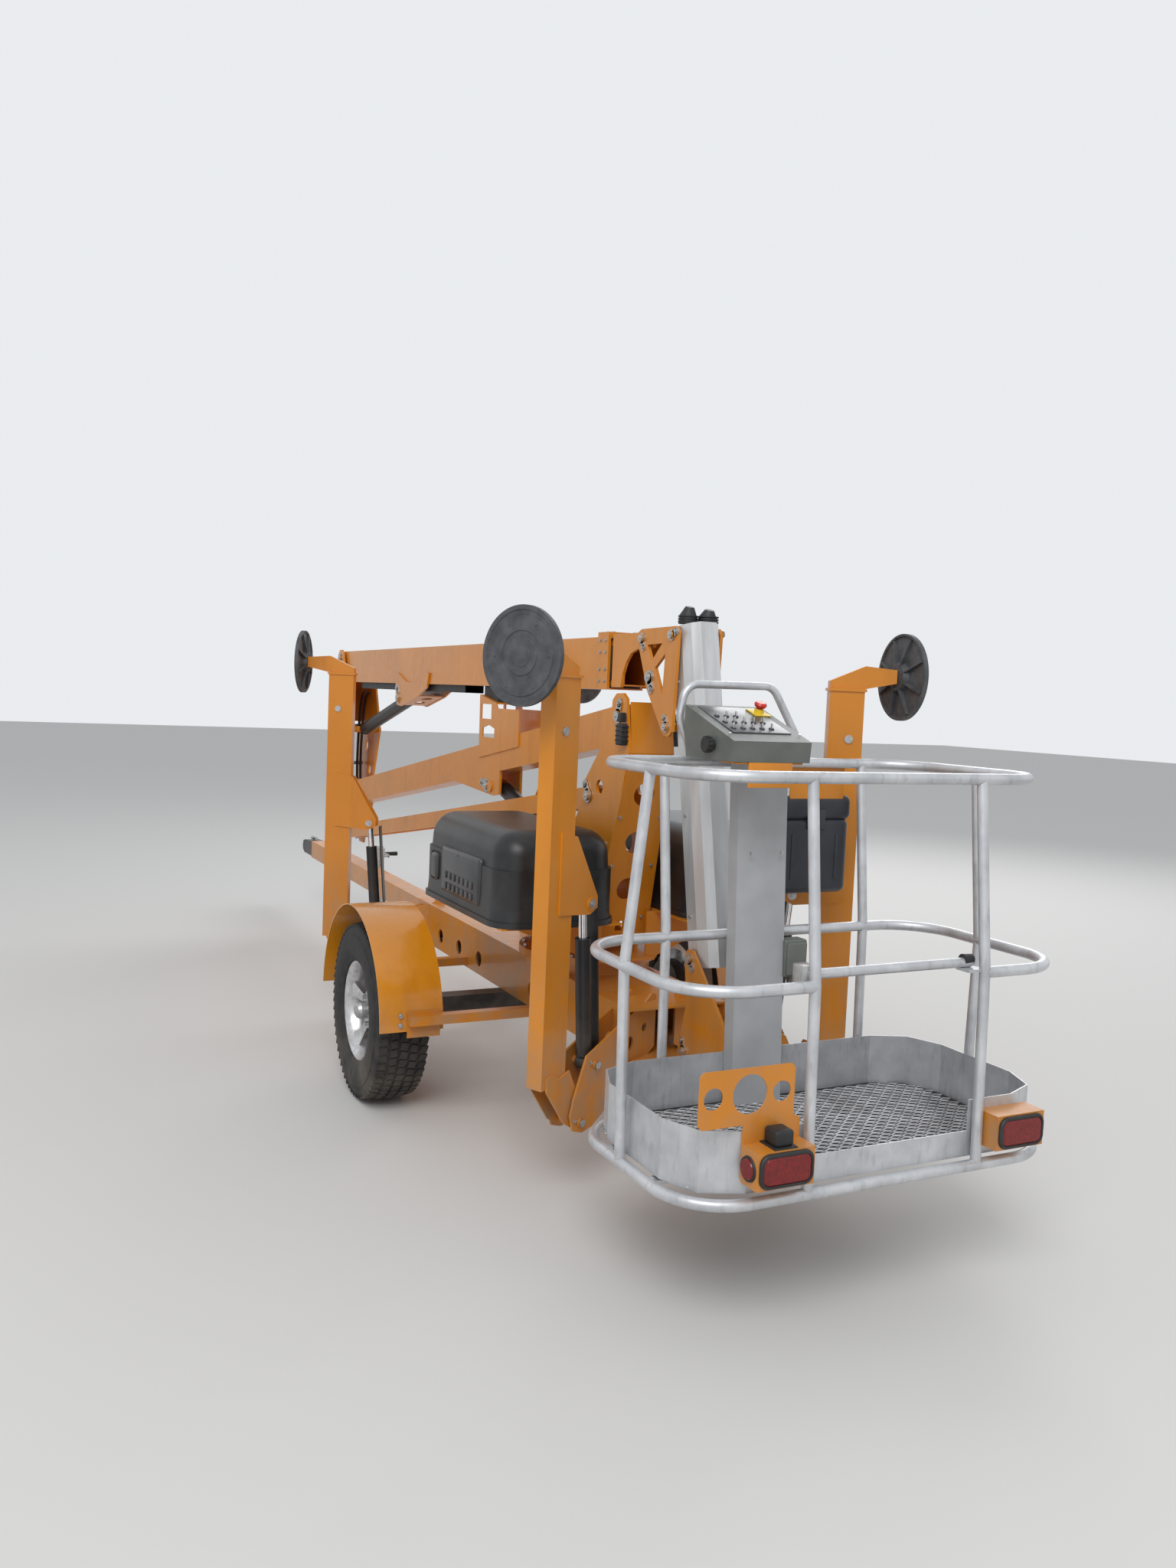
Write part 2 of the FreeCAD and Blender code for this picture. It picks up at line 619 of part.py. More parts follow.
for side, word in ((-1, "left"), (1, "right")):
    make_fender(f"fender_{word}", side)


# Outriggers

def make_leg(corner):
    """A hollow leg with its cap, its pad bracket, the rod's gusset and the hinge gusset."""
    name = corner[0]
    body = body_of(f"leg_{name}")
    deep = "leg_deep / 2"
    wide = "leg_wide / 2"
    pad(body, "XY_Plane", box_points(f"-{deep}", f"-{wide}", deep, wide), "leg_top - leg_foot", offset="leg_foot")
    inner = box_points(f"-{deep} + leg_wall", f"-{wide} + leg_wall", f"{deep} - leg_wall", f"{wide} - leg_wall")
    pocket(body, "XY_Plane", inner, "3 * leg_top", offset="leg_foot")
    cap = box_points(f"-{deep} - 6", f"-{wide} - 6", f"{deep} + 6", f"{wide} + 6")
    pad(body, "XY_Plane", cap, "leg_cap", offset="leg_top")
    low = [
        (f"{deep} - 22", "leg_foot - 7"), (f"{deep} - 22", "leg_foot + 38"), ("10", "leg_foot + 44"),
        ("-26", "leg_foot + 25"), (f"-{deep} - 16", "leg_foot + 41"), ("-hinge_in + 24", "hinge_high + 133"),
        ("-hinge_in + 9", "hinge_high + 99"), ("-hinge_in - 30", "hinge_high + 30"),
        ("-hinge_in - 32", "hinge_high - 12"), ("-hinge_in - 10", "hinge_high - 34"),
        ("-hinge_in + 35", "hinge_high - 11"), ("-hinge_in + 73", "hinge_high + 12"),
    ]
    high = [
        ("10", "eye_high + 250"), (f"-{deep} - 10", "eye_high + 230"), ("-eye_in - 34", "eye_high + 22"),
        ("-eye_in - 34", "eye_high - 16"), ("-eye_in + 6", "eye_high - 35"), ("10", "eye_high - 20"),
    ]
    bore = [("-hinge_in", "hinge_high", "pin_rad + pin_play")]
    for offset in (wide, f"-{wide} - gusset"):
        pad(body, "XZ_Plane", low, "gusset", bore, offset)
        pad(body, "XZ_Plane", high, "gusset", offset=offset)
        knob = f"{offset} + gusset" if offset == wide else offset
        pin_pad(body, "XZ_Plane", "-eye_in", "eye_high", "pin_rad + 8", "8", knob)
    middle = "(leg_top + pad_rise)"
    holder = [
        (f"-{deep}", "leg_top + leg_cap"), (deep, "leg_top + leg_cap"), ("pad_out - 26", f"{middle} - 24"),
        ("pad_out - 26", f"{middle} + 24"), (deep, f"{middle} + 34"), (f"-{deep}", "leg_top + leg_cap + 26"),
    ]
    pad(body, "XZ_Plane", holder, "leg_wide - 14", middle=True)
    place_corner(body, corner)
    return node(f"outrigger_leg_{name}", body)


def make_foot(corner):
    """A round foot pad with a stepped face and a ball behind, hung on the leg's outward line."""
    name = corner[0]
    body = body_of(f"foot_{name}")
    section = [
        ("-25.7", "0"), ("-24.2", "8.8"), ("-19.7", "16.5"), ("-12.9", "22.2"), ("-10", "40"), ("-4", "pad_rad - 12"), ("-10", "pad_rad - 8"),
        ("-10", "pad_rad"), ("6", "pad_rad"), ("6", "pad_rad - 14"), ("3", "pad_rad - 16"),
        ("3", "pad_rad - 30"), ("6", "pad_rad - 32"), ("6", "78"), ("3", "76"), ("3", "62"), ("6", "60"),
        ("6", "0"),
    ]
    revolve(body, "XZ_Plane", section)
    body.Placement = FreeCAD.Placement(V(0, 0, 0), FreeCAD.Rotation(UP, 1))
    side, leg_x, leg_y, turn = corner[1:]
    swing = FOOT_SWING.get(name, "0")
    body.setExpression("Placement.Rotation.Angle", bind(f"({turn} + {swing}) * 1 deg"))
    out = f"pad_out * cos(({turn}) * 1 deg)"
    along = f"pad_out * sin(({turn}) * 1 deg)"
    body.setExpression("Placement.Base.x", bind(f"{side} * {leg_x} + {out}"))
    body.setExpression("Placement.Base.y", bind(f"{AXLE} + {leg_y} + {along}"))
    body.setExpression("Placement.Base.z", bind("leg_top + pad_rise"))
    return node(f"outrigger_pad_{name}", body)


RAM_LEAN = math.degrees(math.atan2(size("eye_high") - size("ram_high"), size("ram_in") - size("eye_in")))
RAM_SPAN = math.hypot(size("eye_high") - size("ram_high"), size("ram_in") - size("eye_in"))


def place_ram(obj, corner):
    """Put a piece drawn along an outrigger cylinder's line, from its base pin, at its corner."""
    name, side, leg_x, leg_y, turn = corner
    azimuth = {"180 + splay": 180 + size("splay"), "-splay": -size("splay"),
               "180 - splay": 180 - size("splay"), "splay": size("splay")}[turn]
    leg = V(side * size(leg_x), size(leg_y.strip("-")) * (-1 if leg_y.startswith("-") else 1) + AXLE_Y, 0)
    spin = FreeCAD.Rotation(UP, azimuth)
    foot = leg + spin.multVec(V(-size("ram_in"), 0, size("ram_high")))
    obj.Placement = FreeCAD.Placement(foot, spin.multiply(FreeCAD.Rotation(V(0, 1, 0), -RAM_LEAN)))


def make_barrel(corner):
    """An outrigger cylinder's barrel with its eye and the guard strip on its inner side."""
    name = corner[0]
    body = body_of(f"barrel_{name}")
    section = [
        ("24", "0"), ("24", "ram_rad"), ("ram_long", "ram_rad"), ("ram_long", "rod_rad + 1"),
        ("ram_long - 18", "rod_rad + 1"), ("ram_long - 18", "ram_rad - ram_wall"), ("40", "ram_rad - ram_wall"),
        ("40", "0"),
    ]
    revolve(body, "XZ_Plane", section)
    pin_pad(body, "XZ_Plane", "0", "0", "ram_rad", "2 * ram_rad - 14")
    strip = box_points("-18", "ram_rad + 20", f"{RAM_SPAN} - 20", "ram_rad + 26")
    pad(body, "XZ_Plane", strip, "leg_wide - 12", middle=True)
    foot = box_points("30", "ram_rad - 8", "70", "ram_rad + 22")
    pad(body, "XZ_Plane", foot, "30", middle=True)
    round_cut(body, "XZ_Plane", [("0", "0", "pin_rad + pin_play")], "4 * ram_rad")
    place_ram(body, corner)
    return node(f"outrigger_cylinder_{name}", body)


def make_rod(corner):
    """An outrigger cylinder's rod with its eye."""
    name = corner[0]
    body = body_of(f"rod_{name}")
    section = [
        ("rod_in", "0"), ("rod_in", "ram_rad - ram_wall - 0.5"), ("rod_in + 30", "ram_rad - ram_wall - 0.5"),
        ("rod_in + 30", "rod_rad"), (f"{RAM_SPAN} - 18", "rod_rad"), (f"{RAM_SPAN} - 18", "0"),
    ]
    revolve(body, "XZ_Plane", section)
    pin_pad(body, "XZ_Plane", f"{RAM_SPAN}", "0", "ram_rad - 4", "leg_wide - 16")
    round_cut(body, "XZ_Plane", [(f"{RAM_SPAN}", "0", "pin_rad + pin_play")], "4 * ram_rad")
    place_ram(body, corner)
    return node(f"outrigger_rod_{name}", body)


for corner in CORNERS:
    make_leg(corner)
    make_foot(corner)
    make_barrel(corner)
    make_rod(corner)


# Turntable and tower

def make_turntable():
    """The turning ring, its base plate and the two battery trays on their gussets."""
    body = body_of("turntable_body")
    ring = sketch_on(body, "XY_Plane", [], [("0", "-turn_back", "turn_rad")], "turn_low + 0.3")
    disc = body.newObject("PartDesign::Pad", "disc")
    disc.Profile = ring
    disc.setExpression("Length", bind("turn_thick"))
    base = box_points("-tower_in - 40", "-turn_back - 330", "tower_in + 40", "-turn_back + 300")
    pad(body, "XY_Plane", base, "12", offset="turn_low + turn_thick")
    near = "(tower_in + tower_plate + 0.3)"
    far = "(cover_out - 20)"
    beside = "(tower_in + tower_plate + tower_flange + 1)"
    for side in (-1, 1):
        edges = (f"-{far}", f"-{beside}") if side < 0 else (beside, far)
        shelf = box_points(edges[0], "-cover_back + 20", edges[1], "-cover_back + cover_long - 20")
        pad(body, "XY_Plane", shelf, "6", offset="tray_high")
        for ahead in ("-cover_back + 250", "-cover_back + cover_long - 40"):
            rib = [
                (f"{side} * {near}", "turn_low + turn_thick"), (f"{side} * {near} + {side} * 24", "turn_low + turn_thick"),
                (f"{side} * {far} - {side} * 40", "tray_high"), (f"{side} * {near}", "tray_high"),
            ]
            pad(body, "XZ_Plane", rib, "8", offset=f"-({ahead})", middle=True)
    place(body)
    return node("turntable", body)


make_turntable()


def make_tower():
    """Two leaning side plates, a perforated plate that tapers over their rear edges, and the pins across."""
    body = body_of("tower_body")
    base = "turn_low + turn_thick + 12.3"
    outer = "(tower_in + tower_plate)"
    rear = [("-650", "740"), ("-858", "1474"), ("-850", "1474"), ("-642", "740")]
    pad(body, "YZ_Plane", rear, f"2 * ({outer} + tower_flange)", middle=True)
    for side in (-1, 1):
        edge = [
            (f"{side} * ({outer} - 11)", "1504"), (f"{side} * 300", "1504"), (f"{side} * 300", "700"),
            (f"{side} * ({outer} + tower_flange)", "700"),
        ]
        pocket(body, "XZ_Plane", edge, "340", offset="750")
    opening = box_points("-20", "776", "12", "816")
    pocket(body, "XZ_Plane", opening, "340", offset="750")
    holes = [("0", "1318", "43"), ("0", "1132", "43"), ("0", "948", "43")]
    round_cut(body, "XZ_Plane", holes, "340", "750")
    side_shape = [
        ("-640", base), ("-150", base), ("-150", "tray_high"), ("-330", "tray_high + 185"),
        ("-link_back + 62", "link_high - 30"), ("-link_back + 50", "link_high + 45"),
        ("-arm_pin_back + 66", "arm_pin_high - 50"), ("-arm_pin_back + 55", "arm_pin_high + 60"),
        ("-arm_pin_back + 25", "arm_pin_high + 84"), ("-arm_pin_back - 25", "arm_pin_high + 86"),
        ("-arm_pin_back - 55", "arm_pin_high + 66"), ("-854", "1474"), ("-646", "740"),
    ]
    windows = [("-630", "1330", "28"), ("-540", "1110", "40"), ("-330", "790", "46"), ("-520", "790", "40")]
    for offset in ("tower_in", "-tower_in - tower_plate"):
        pad(body, "YZ_Plane", side_shape, "tower_plate", windows, offset)
    hood = [("-858", "1474"), ("-838", "1660"), ("-830", "1660"), ("-850", "1474")]
    pad(body, "YZ_Plane", hood, "2 * tower_in", middle=True)
    front = [("-170", base), ("-170", "tray_high"), ("-178", "tray_high"), ("-178", base)]
    pad(body, "YZ_Plane", front, "2 * tower_in", middle=True)
    long = f"2 * ({outer} + 10)"
    pin_pad(body, "YZ_Plane", "-arm_pin_back", "arm_pin_high", "big_pin", long)
    pin_pad(body, "YZ_Plane", "-link_back", "link_high", "big_pin", long)
    pin_pad(body, "YZ_Plane", "-lift_back", "lift_high", "big_pin", long)
    place(body)
    return node("tower", body)


make_tower()


def make_cover(name, side):
    """A moulded cover, open below, with rounded corners and a rim round its foot."""
    near, far = ("cover_in", "cover_out")
    low_x = f"-{far}" if side < 0 else near
    outer = doc.addObject("Part::Box", "cover_outer")
    inner = doc.addObject("Part::Box", "cover_inner")
    for box, skin in ((outer, "0"), (inner, "cover_skin")):
        box.setExpression("Length", bind(f"{far} - {near} - 2 * {skin}"))
        box.setExpression("Width", bind(f"cover_long - 2 * {skin}"))
        box.setExpression("Height", bind(f"cover_tall - {skin}"))
        box.setExpression("Placement.Base.x", bind(f"{low_x} + {skin}"))
        box.setExpression("Placement.Base.y", bind(f"{AXLE} - cover_back + {skin}"))
        box.setExpression("Placement.Base.z", bind("cover_low"))
    doc.recompute()
    rounded = []
    for box, upright, top in ((outer, 110, 80), (inner, 105, 75)):
        fillet = doc.addObject("Part::Fillet", "rounded")
        fillet.Base = box
        edges = []
        ceiling = box.Shape.BoundBox.ZMax
        for index, edge in enumerate(box.Shape.Edges, start=1):
            tall = edge.BoundBox.ZLength > 1
            high = edge.BoundBox.ZMin > ceiling - 1
            if tall:
                edges.append((index, upright, upright))
            elif high:
                edges.append((index, top, top))
        fillet.Edges = edges
        rounded.append(fillet)
    shell = doc.addObject("Part::Cut", "cover_shell")
    shell.Base = rounded[0]
    shell.Tool = rounded[1]
    return node(name, shell)


make_cover("cover_left", -1)
make_cover("cover_right", 1)


# Riser parallelogram

def make_riser_arm():
    """The upper riser arm: a hollow box between its pins, with the lift cylinder's lug beneath."""
    body = body_of("riser_arm_body")
    low = "(-arm_sink - arm_tall / 2)"
    top = "(arm_tall / 2 - arm_sink)"
    shape = [
        ("-45", "-12"), ("-33", "-33"), ("40", f"{low} + 12"), ("70", low), ("arm_long - 40", low),
        ("arm_long + 32", "-56"), ("arm_long + 48", "-14"), ("arm_long + 42", "24"), ("arm_long + 22", top),
        ("90", top), ("0", "46"), ("-30", "36"), ("-45", "14"),
    ]
    bores = [("0", "0", "big_pin + pin_play"), ("arm_long", "0", "big_pin + pin_play")]
    pad(body, "YZ_Plane", shape, "2 * arm_half", bores, middle=True)
    hollow = box_points("120", f"{low} + arm_wall", "arm_long - 130", f"{top} - arm_wall")
    pocket(body, "YZ_Plane", hollow, "2 * (arm_half - arm_wall)")
    lug = [
        ("lift_along - 121", f"{low} + 4"), ("lift_along - 104", "-lift_under - 47"),
        ("lift_along - 27", "-lift_under - 47"), ("lift_along + 44", "-lift_under - 32"),
        ("lift_along + 511", f"{low} + 4"),
    ]
    for side in (-1, 1):
        pad(body, "YZ_Plane", lug, "12", offset="arm_half - 12" if side > 0 else "-arm_half")
        pin_pad(body, "YZ_Plane", "lift_along", "-lift_under", "big_pin + 8", "8", f"{side} * (arm_half + 3)")
    place(body, "0", "-arm_pin_back", "arm_pin_high", V(1, 0, 0), "-arm_slope")
    return node("riser_arm", body)


make_riser_arm()


def make_cradle():
    """The boom rest: two plates on the arm's sides under a sloping seat, with a rubber block on it."""
    body = body_of("cradle_body")
    back = "(cradle_back - arm_pin_back)"
    seat = "(boom_low - rest_high)"

    def beside_arm(ahead):
        drop = "arm_tall / 2 - arm_sink - 60"
        return f"arm_pin_high - ({ahead} + arm_pin_back) * tan(arm_slope * 1 deg) + ({drop}) / cos(arm_slope * 1 deg)"

    shape = [
        (back, beside_arm(back)), (f"{back} + cradle_long - 8", beside_arm(f"{back} + cradle_long")),
        (f"{back} + cradle_long", seat), (f"{back} + 278", f"{seat} - 36"), (f"{back} + 260", f"{seat} - 61"),
        (back, f"{seat} - 61"),
    ]
    side_in = "(arm_half + pin_play)"
    for offset in (side_in, f"-{side_in} - cradle_plate"):
        pad(body, "YZ_Plane", shape, "cradle_plate", offset=offset)
    window = box_points(f"{back} + 335", f"{seat} - 114", f"{back} + 465", f"{seat} - 44")
    five = [
        (f"{back} + 290", f"{seat} - 201"), (f"{back} + 440", f"{seat} - 201"), (f"{back} + 440", f"{seat} - 157"),
        (f"{back} + 365", f"{seat} - 141"), (f"{back} + 290", f"{seat} - 157"),
    ]
    for cut in (window, five):
        pocket(body, "YZ_Plane", cut, "4 * arm_half")
    top = [
        (f"{back} + 278", f"{seat} - 42"), (f"{back} + cradle_long", f"{seat} - 6"),
        (f"{back} + cradle_long", seat), (f"{back} + 278", f"{seat} - 36"),
    ]
    pad(body, "YZ_Plane", top, f"2 * ({side_in} + 2)", middle=True)
    place(body)
    node("boom_cradle", body)
    block = body_of("rest_body")
    lift = "(36 / (cradle_long - 278))"
    wedge = [
        (f"{back} + 300", f"{seat} - 36 + 22 * {lift} + 0.4"),
        (f"{back} + cradle_long - 10", f"{seat} - 10 * {lift} + 0.4"),
        (f"{back} + cradle_long - 10", "boom_low - pin_play"), (f"{back} + 300", "boom_low - pin_play"),
    ]
    pad(block, "YZ_Plane", wedge, "2 * arm_half - 26", middle=True)
    place(block)
    return node("boom_rest_pad", block)


make_cradle()


def make_riser_link():
    """The lower riser link: two parallel bars with a cross tube, between which the cylinder passes."""
    body = body_of("riser_link_body")
    tall = "link_tall / 2"
    shape = [
        ("-34", "-24"), ("-14", f"-{tall}"), ("arm_long + 14", f"-{tall}"), ("arm_long + 34", "-24"),
        ("arm_long + 34", "24"), ("arm_long + 14", tall), ("-14", tall), ("-34", "24"),
    ]
    bores = [("0", "0", "big_pin + pin_play"), ("arm_long", "0", "big_pin + pin_play")]
    for offset in ("link_in", "-link_in - link_bar"):
        pad(body, "YZ_Plane", shape, "link_bar", bores, offset)
    for along in ("arm_long - 300", "arm_long / 2 + 300"):
        pin_pad(body, "YZ_Plane", along, "0", "24", "2 * link_in + 4")
    place(body, "0", "-link_back", "link_high", V(1, 0, 0), "-arm_slope")
    return node("riser_link", body)


make_riser_link()

SLOPE = math.radians(size("arm_slope"))


def on_arm(along, above):
    """A place on the riser arm, measured from the axle: how far ahead and how high."""
    ahead = -size("arm_pin_back") + along * math.cos(SLOPE) + above * math.sin(SLOPE)
    high = size("arm_pin_high") - along * math.sin(SLOPE) + above * math.cos(SLOPE)
    return ahead, high


LIFT_FOOT = (-size("lift_back"), size("lift_high"))
LIFT_EYE = on_arm(size("lift_along"), -size("lift_under"))
LIFT_SPAN = math.hypot(LIFT_EYE[0] - LIFT_FOOT[0], LIFT_EYE[1] - LIFT_FOOT[1])
LIFT_TILT = math.degrees(math.atan2(LIFT_EYE[1] - LIFT_FOOT[1], LIFT_EYE[0] - LIFT_FOOT[0]))


def make_cylinder(name, foot, tilt, span, barrel, rod, eye_wide, inner_end, pin):
    """A hydraulic barrel and its rod along Y, from the base pin's place, tilted about X."""
    tube = body_of(f"{name}_tube")
    section = [
        (f"{pin} + 8", "0"), (f"{pin} + 8", barrel), (f"{span} - {pin} - 22", barrel),
        (f"{span} - {pin} - 22", f"{rod} + 1"), (f"{span} - {pin} - 48", f"{rod} + 1"),
        (f"{span} - {pin} - 48", f"{barrel} - 6"), (f"{pin} + 22", f"{barrel} - 6"), (f"{pin} + 22", "0"),
    ]
    revolve(tube, "YZ_Plane", section)
    pin_pad(tube, "YZ_Plane", "0", "0", f"{pin} + 14", eye_wide)
    round_cut(tube, "YZ_Plane", [("0", "0", f"{pin} + pin_play")], "200")
    shaft = body_of(f"{name}_shaft")
    section = [
        (inner_end, "0"), (inner_end, f"{barrel} - 6.5"), (f"{inner_end} + 30", f"{barrel} - 6.5"),
        (f"{inner_end} + 30", rod), (f"{span} - {pin} - 6", rod), (f"{span} - {pin} - 6", "0"),
    ]
    revolve(shaft, "YZ_Plane", section)
    pin_pad(shaft, "YZ_Plane", span, "0", f"{pin} + 12", eye_wide)
    round_cut(shaft, "YZ_Plane", [(span, "0", f"{pin} + pin_play")], "200")
    for body in (tube, shaft):
        place(body, "0", foot[0], foot[1], V(1, 0, 0), tilt)
    node(f"{name}_cylinder", tube)
    node(f"{name}_rod", shaft)


make_cylinder("riser", (str(LIFT_FOOT[0]), str(LIFT_FOOT[1])), str(LIFT_TILT), str(LIFT_SPAN),
              "lift_rad", "lift_rod", "38", "46", "big_pin")


# Upright between riser and main boom

ARM_TIP = on_arm(size("arm_long"), 0)
TIP_Y = "(arm_long * cos(arm_slope * 1 deg) - arm_pin_back)"
TIP_Z = "(arm_pin_high - arm_long * sin(arm_slope * 1 deg))"
LINK_Y = f"({TIP_Y} + arm_pin_back - link_back)"
LINK_Z = f"({TIP_Z} + link_high - arm_pin_high)"
PIVOT_Y = f"({TIP_Y} + boom_pin_lead)"
PIVOT_Z = "(boom_low + boom_pin_rise)"
BASE_Y = f"({TIP_Y} - boom_ram_trail)"
BASE_Z = "(boom_low - boom_ram_drop)"
SADDLE_Y = f"({PIVOT_Y} - saddle_trail)"
SADDLE_Z = "(boom_low - saddle_drop)"


def make_upright():
    """Two side plates joined by a front plate and the pins that riser, boom and cylinder turn on."""
    body = body_of("upright_body")
    side_shape = [
        (f"{LINK_Y} - 52", f"{LINK_Z} - 63"), (f"{LINK_Y} + 53", f"{LINK_Z} - 63"),
        (f"{PIVOT_Y} + 115", f"{LINK_Z} + 117"), (f"{PIVOT_Y} + 135", "boom_low - 204"),
        (f"{PIVOT_Y} + 95", f"{PIVOT_Z} - 60"), (f"{PIVOT_Y} + 60", f"{PIVOT_Z} + 30"),
        (f"{PIVOT_Y} + 25", f"{PIVOT_Z} + 55"), (f"{PIVOT_Y} - 22", f"{PIVOT_Z} + 55"),
        (f"{PIVOT_Y} - 58", f"{PIVOT_Z} + 25"), (f"{PIVOT_Y} - 85", f"{PIVOT_Z} - 30"),
        (f"{PIVOT_Y} - 235", f"{PIVOT_Z} - 105"), (f"{PIVOT_Y} - 245", f"{PIVOT_Z} - 210"),
        (f"{BASE_Y} - 15", f"{BASE_Z} + 124"), (f"{BASE_Y} - 64", f"{BASE_Z} + 5"),
        (f"{BASE_Y} - 50", f"{BASE_Z} - 40"), (f"{TIP_Y} - 10", f"{TIP_Z} + 92"), (f"{TIP_Y} - 55", f"{TIP_Z} + 40"),
        (f"{TIP_Y} - 60", f"{TIP_Z} - 20"), (f"{TIP_Y} - 20", f"{TIP_Z} - 75"), (f"{LINK_Y} - 70", f"{LINK_Z} + 20"),
    ]
    windows = [(f"{TIP_Y} + 73", f"{TIP_Z} + 129", "30"), (f"{PIVOT_Y} - 60", "boom_low - 420", "34")]
    for offset in ("upright_in", "-upright_in - upright_plate"):
        pad(body, "YZ_Plane", side_shape, "upright_plate", windows, offset)
    front = box_points(f"{PIVOT_Y} + 96", "boom_low - 264", f"{PIVOT_Y} + 106", "boom_low + 6")
    pad(body, "YZ_Plane", front, "2 * upright_in", middle=True)
    long = "2 * (upright_in + upright_plate + 10)"
    for along, high in ((PIVOT_Y, PIVOT_Z), (TIP_Y, TIP_Z), (LINK_Y, LINK_Z), (BASE_Y, BASE_Z)):
        pin_pad(body, "YZ_Plane", along, high, "big_pin", long)
    place(body)
    return node("upright", body)


make_upright()


# Main boom

def make_boom():
    """The outer boom, a hollow box with a collar at its open end, and the cylinder's saddle round its underside."""
    body = body_of("boom_body")
    top = "boom_low + boom_tall"
    shape = [
        ("-boom_back", "boom_low"), (f"{PIVOT_Y} + 20", "boom_low"), (f"{PIVOT_Y} + 60", "boom_low + 40"),
        (f"{PIVOT_Y} + 60", f"{top} - 30"), (f"{PIVOT_Y} + 30", top), ("-boom_back", top),
    ]
    pad(body, "YZ_Plane", shape, "2 * boom_half", [(PIVOT_Y, PIVOT_Z, "big_pin + pin_play")], middle=True)
    collar = box_points("-boom_back", "boom_low", "-boom_back + 90", f"{top} + 18")
    pad(body, "YZ_Plane", collar, "2 * (boom_half + 6)", middle=True)
    hollow = box_points("-boom_back - 20", "boom_low + boom_wall", f"{PIVOT_Y} - 110", f"{top} - boom_wall")
    pocket(body, "YZ_Plane", hollow, "2 * (boom_half - boom_wall)")
    wear = "(fly_half + pin_play)"
    for side in (-1, 1):
        strip = box_points("-boom_back + 4", "boom_low + 40", "-boom_back + 90", f"{top} - 40")
        pad(body, "YZ_Plane", strip, f"boom_half - boom_wall - {wear} + 1",
            offset=wear if side > 0 else "-boom_half + boom_wall - 1")
    floor = box_points("-boom_back + 4", "boom_low + 4", "-boom_back + 90", "boom_low + boom_wall + fly_room - pin_play")
    roof = box_points("-boom_back + 4", f"{top} - boom_wall - fly_room + pin_play", "-boom_back + 90", f"{top} - 4")
    for block in (floor, roof):
        pad(body, "YZ_Plane", block, "1.2 * fly_half", middle=True)
    place(body)
    node("boom_outer", body)
    body = body_of("saddle_body")
    beside = "(boom_half + pin_play)"
    saddle = [
        (f"{SADDLE_Y} - 530", "boom_low + 60"), (f"{SADDLE_Y} - 500", "boom_low - 19"),
        (f"{SADDLE_Y} - 345", "boom_low - 71"), (f"{SADDLE_Y} - 45", "boom_low - 130"),
        (f"{SADDLE_Y} + 30", "boom_low - 124"), (f"{SADDLE_Y} + 52", "boom_low - 80"),
        (f"{SADDLE_Y} + 62", "boom_low - 10"), (f"{SADDLE_Y} + 61", "boom_low + 57"),
        (f"{SADDLE_Y} + 20", "boom_low + 57"), (f"{SADDLE_Y} - 120", "boom_low + 12"),
        (f"{SADDLE_Y} - 210", "boom_low + 5"), (f"{SADDLE_Y} - 330", "boom_low + 14"),
        (f"{SADDLE_Y} - 490", "boom_low + 62"),
    ]
    for side in (-1, 1):
        pad(body, "YZ_Plane", saddle, "saddle_plate", offset=beside if side > 0 else f"-{beside} - saddle_plate")
        pin_pad(body, "YZ_Plane", SADDLE_Y, SADDLE_Z, "big_pin + 8", "8", f"{side} * ({beside} + saddle_plate + 3)")
    web = [
        (f"{SADDLE_Y} - 345", "boom_low - 68"), (f"{SADDLE_Y} - 60", "boom_low - 124"),
        (f"{SADDLE_Y} - 60", "boom_low - 118"), (f"{SADDLE_Y} - 345", "boom_low - 62"),
    ]
    pad(body, "YZ_Plane", web, "2 * boom_half + 4", middle=True)
    round_cut(body, "XY_Plane", [("0", f"{SADDLE_Y} - 270", "30"), ("0", f"{SADDLE_Y} - 150", "30")], "80",
              "boom_low - 94")
    place(body)
    return node("boom_saddle", body)


make_boom()

def make_duct():
    """The hose duct, a thin channel under the boom."""
    body = body_of("duct_body")
    low = "(boom_low - pin_play - duct_tall)"
    ends = (f"{SADDLE_Y} - 1010", f"{SADDLE_Y} + 890")
    pad(body, "YZ_Plane", box_points(ends[0], low, ends[1], "boom_low - pin_play"), "2 * duct_half", middle=True)
    hollow = box_points(f"{ends[0]} - 20", f"{low} + 3", f"{ends[1]} + 20", "boom_low - pin_play - 3")
    pocket(body, "YZ_Plane", hollow, "2 * (duct_half - 3)")
    place(body)
    return node("hose_duct", body)


make_duct()

BOOM_FOOT = (ARM_TIP[0] - size("boom_ram_trail"), size("boom_low") - size("boom_ram_drop"))
BOOM_EYE = (ARM_TIP[0] + size("boom_pin_lead") - size("saddle_trail"), size("boom_low") - size("saddle_drop"))
BOOM_SPAN = math.hypot(BOOM_EYE[0] - BOOM_FOOT[0], BOOM_EYE[1] - BOOM_FOOT[1])
BOOM_TILT = math.degrees(math.atan2(BOOM_EYE[1] - BOOM_FOOT[1], BOOM_EYE[0] - BOOM_FOOT[0]))
make_cylinder("boom", (str(BOOM_FOOT[0]), str(BOOM_FOOT[1])), str(BOOM_TILT), str(BOOM_SPAN),
              "boom_ram_rad", "boom_rod_rad", "42", "200", "big_pin")

PIN_A_Z = "(boom_low + a_rise)"
PIN_B_Z = "(boom_low + a_rise + jib_pin_rise)"
PIN_C_Z = "(boom_low + a_rise - c_drop)"
PIN_D_Z = "(boom_low + a_rise - d_drop)"


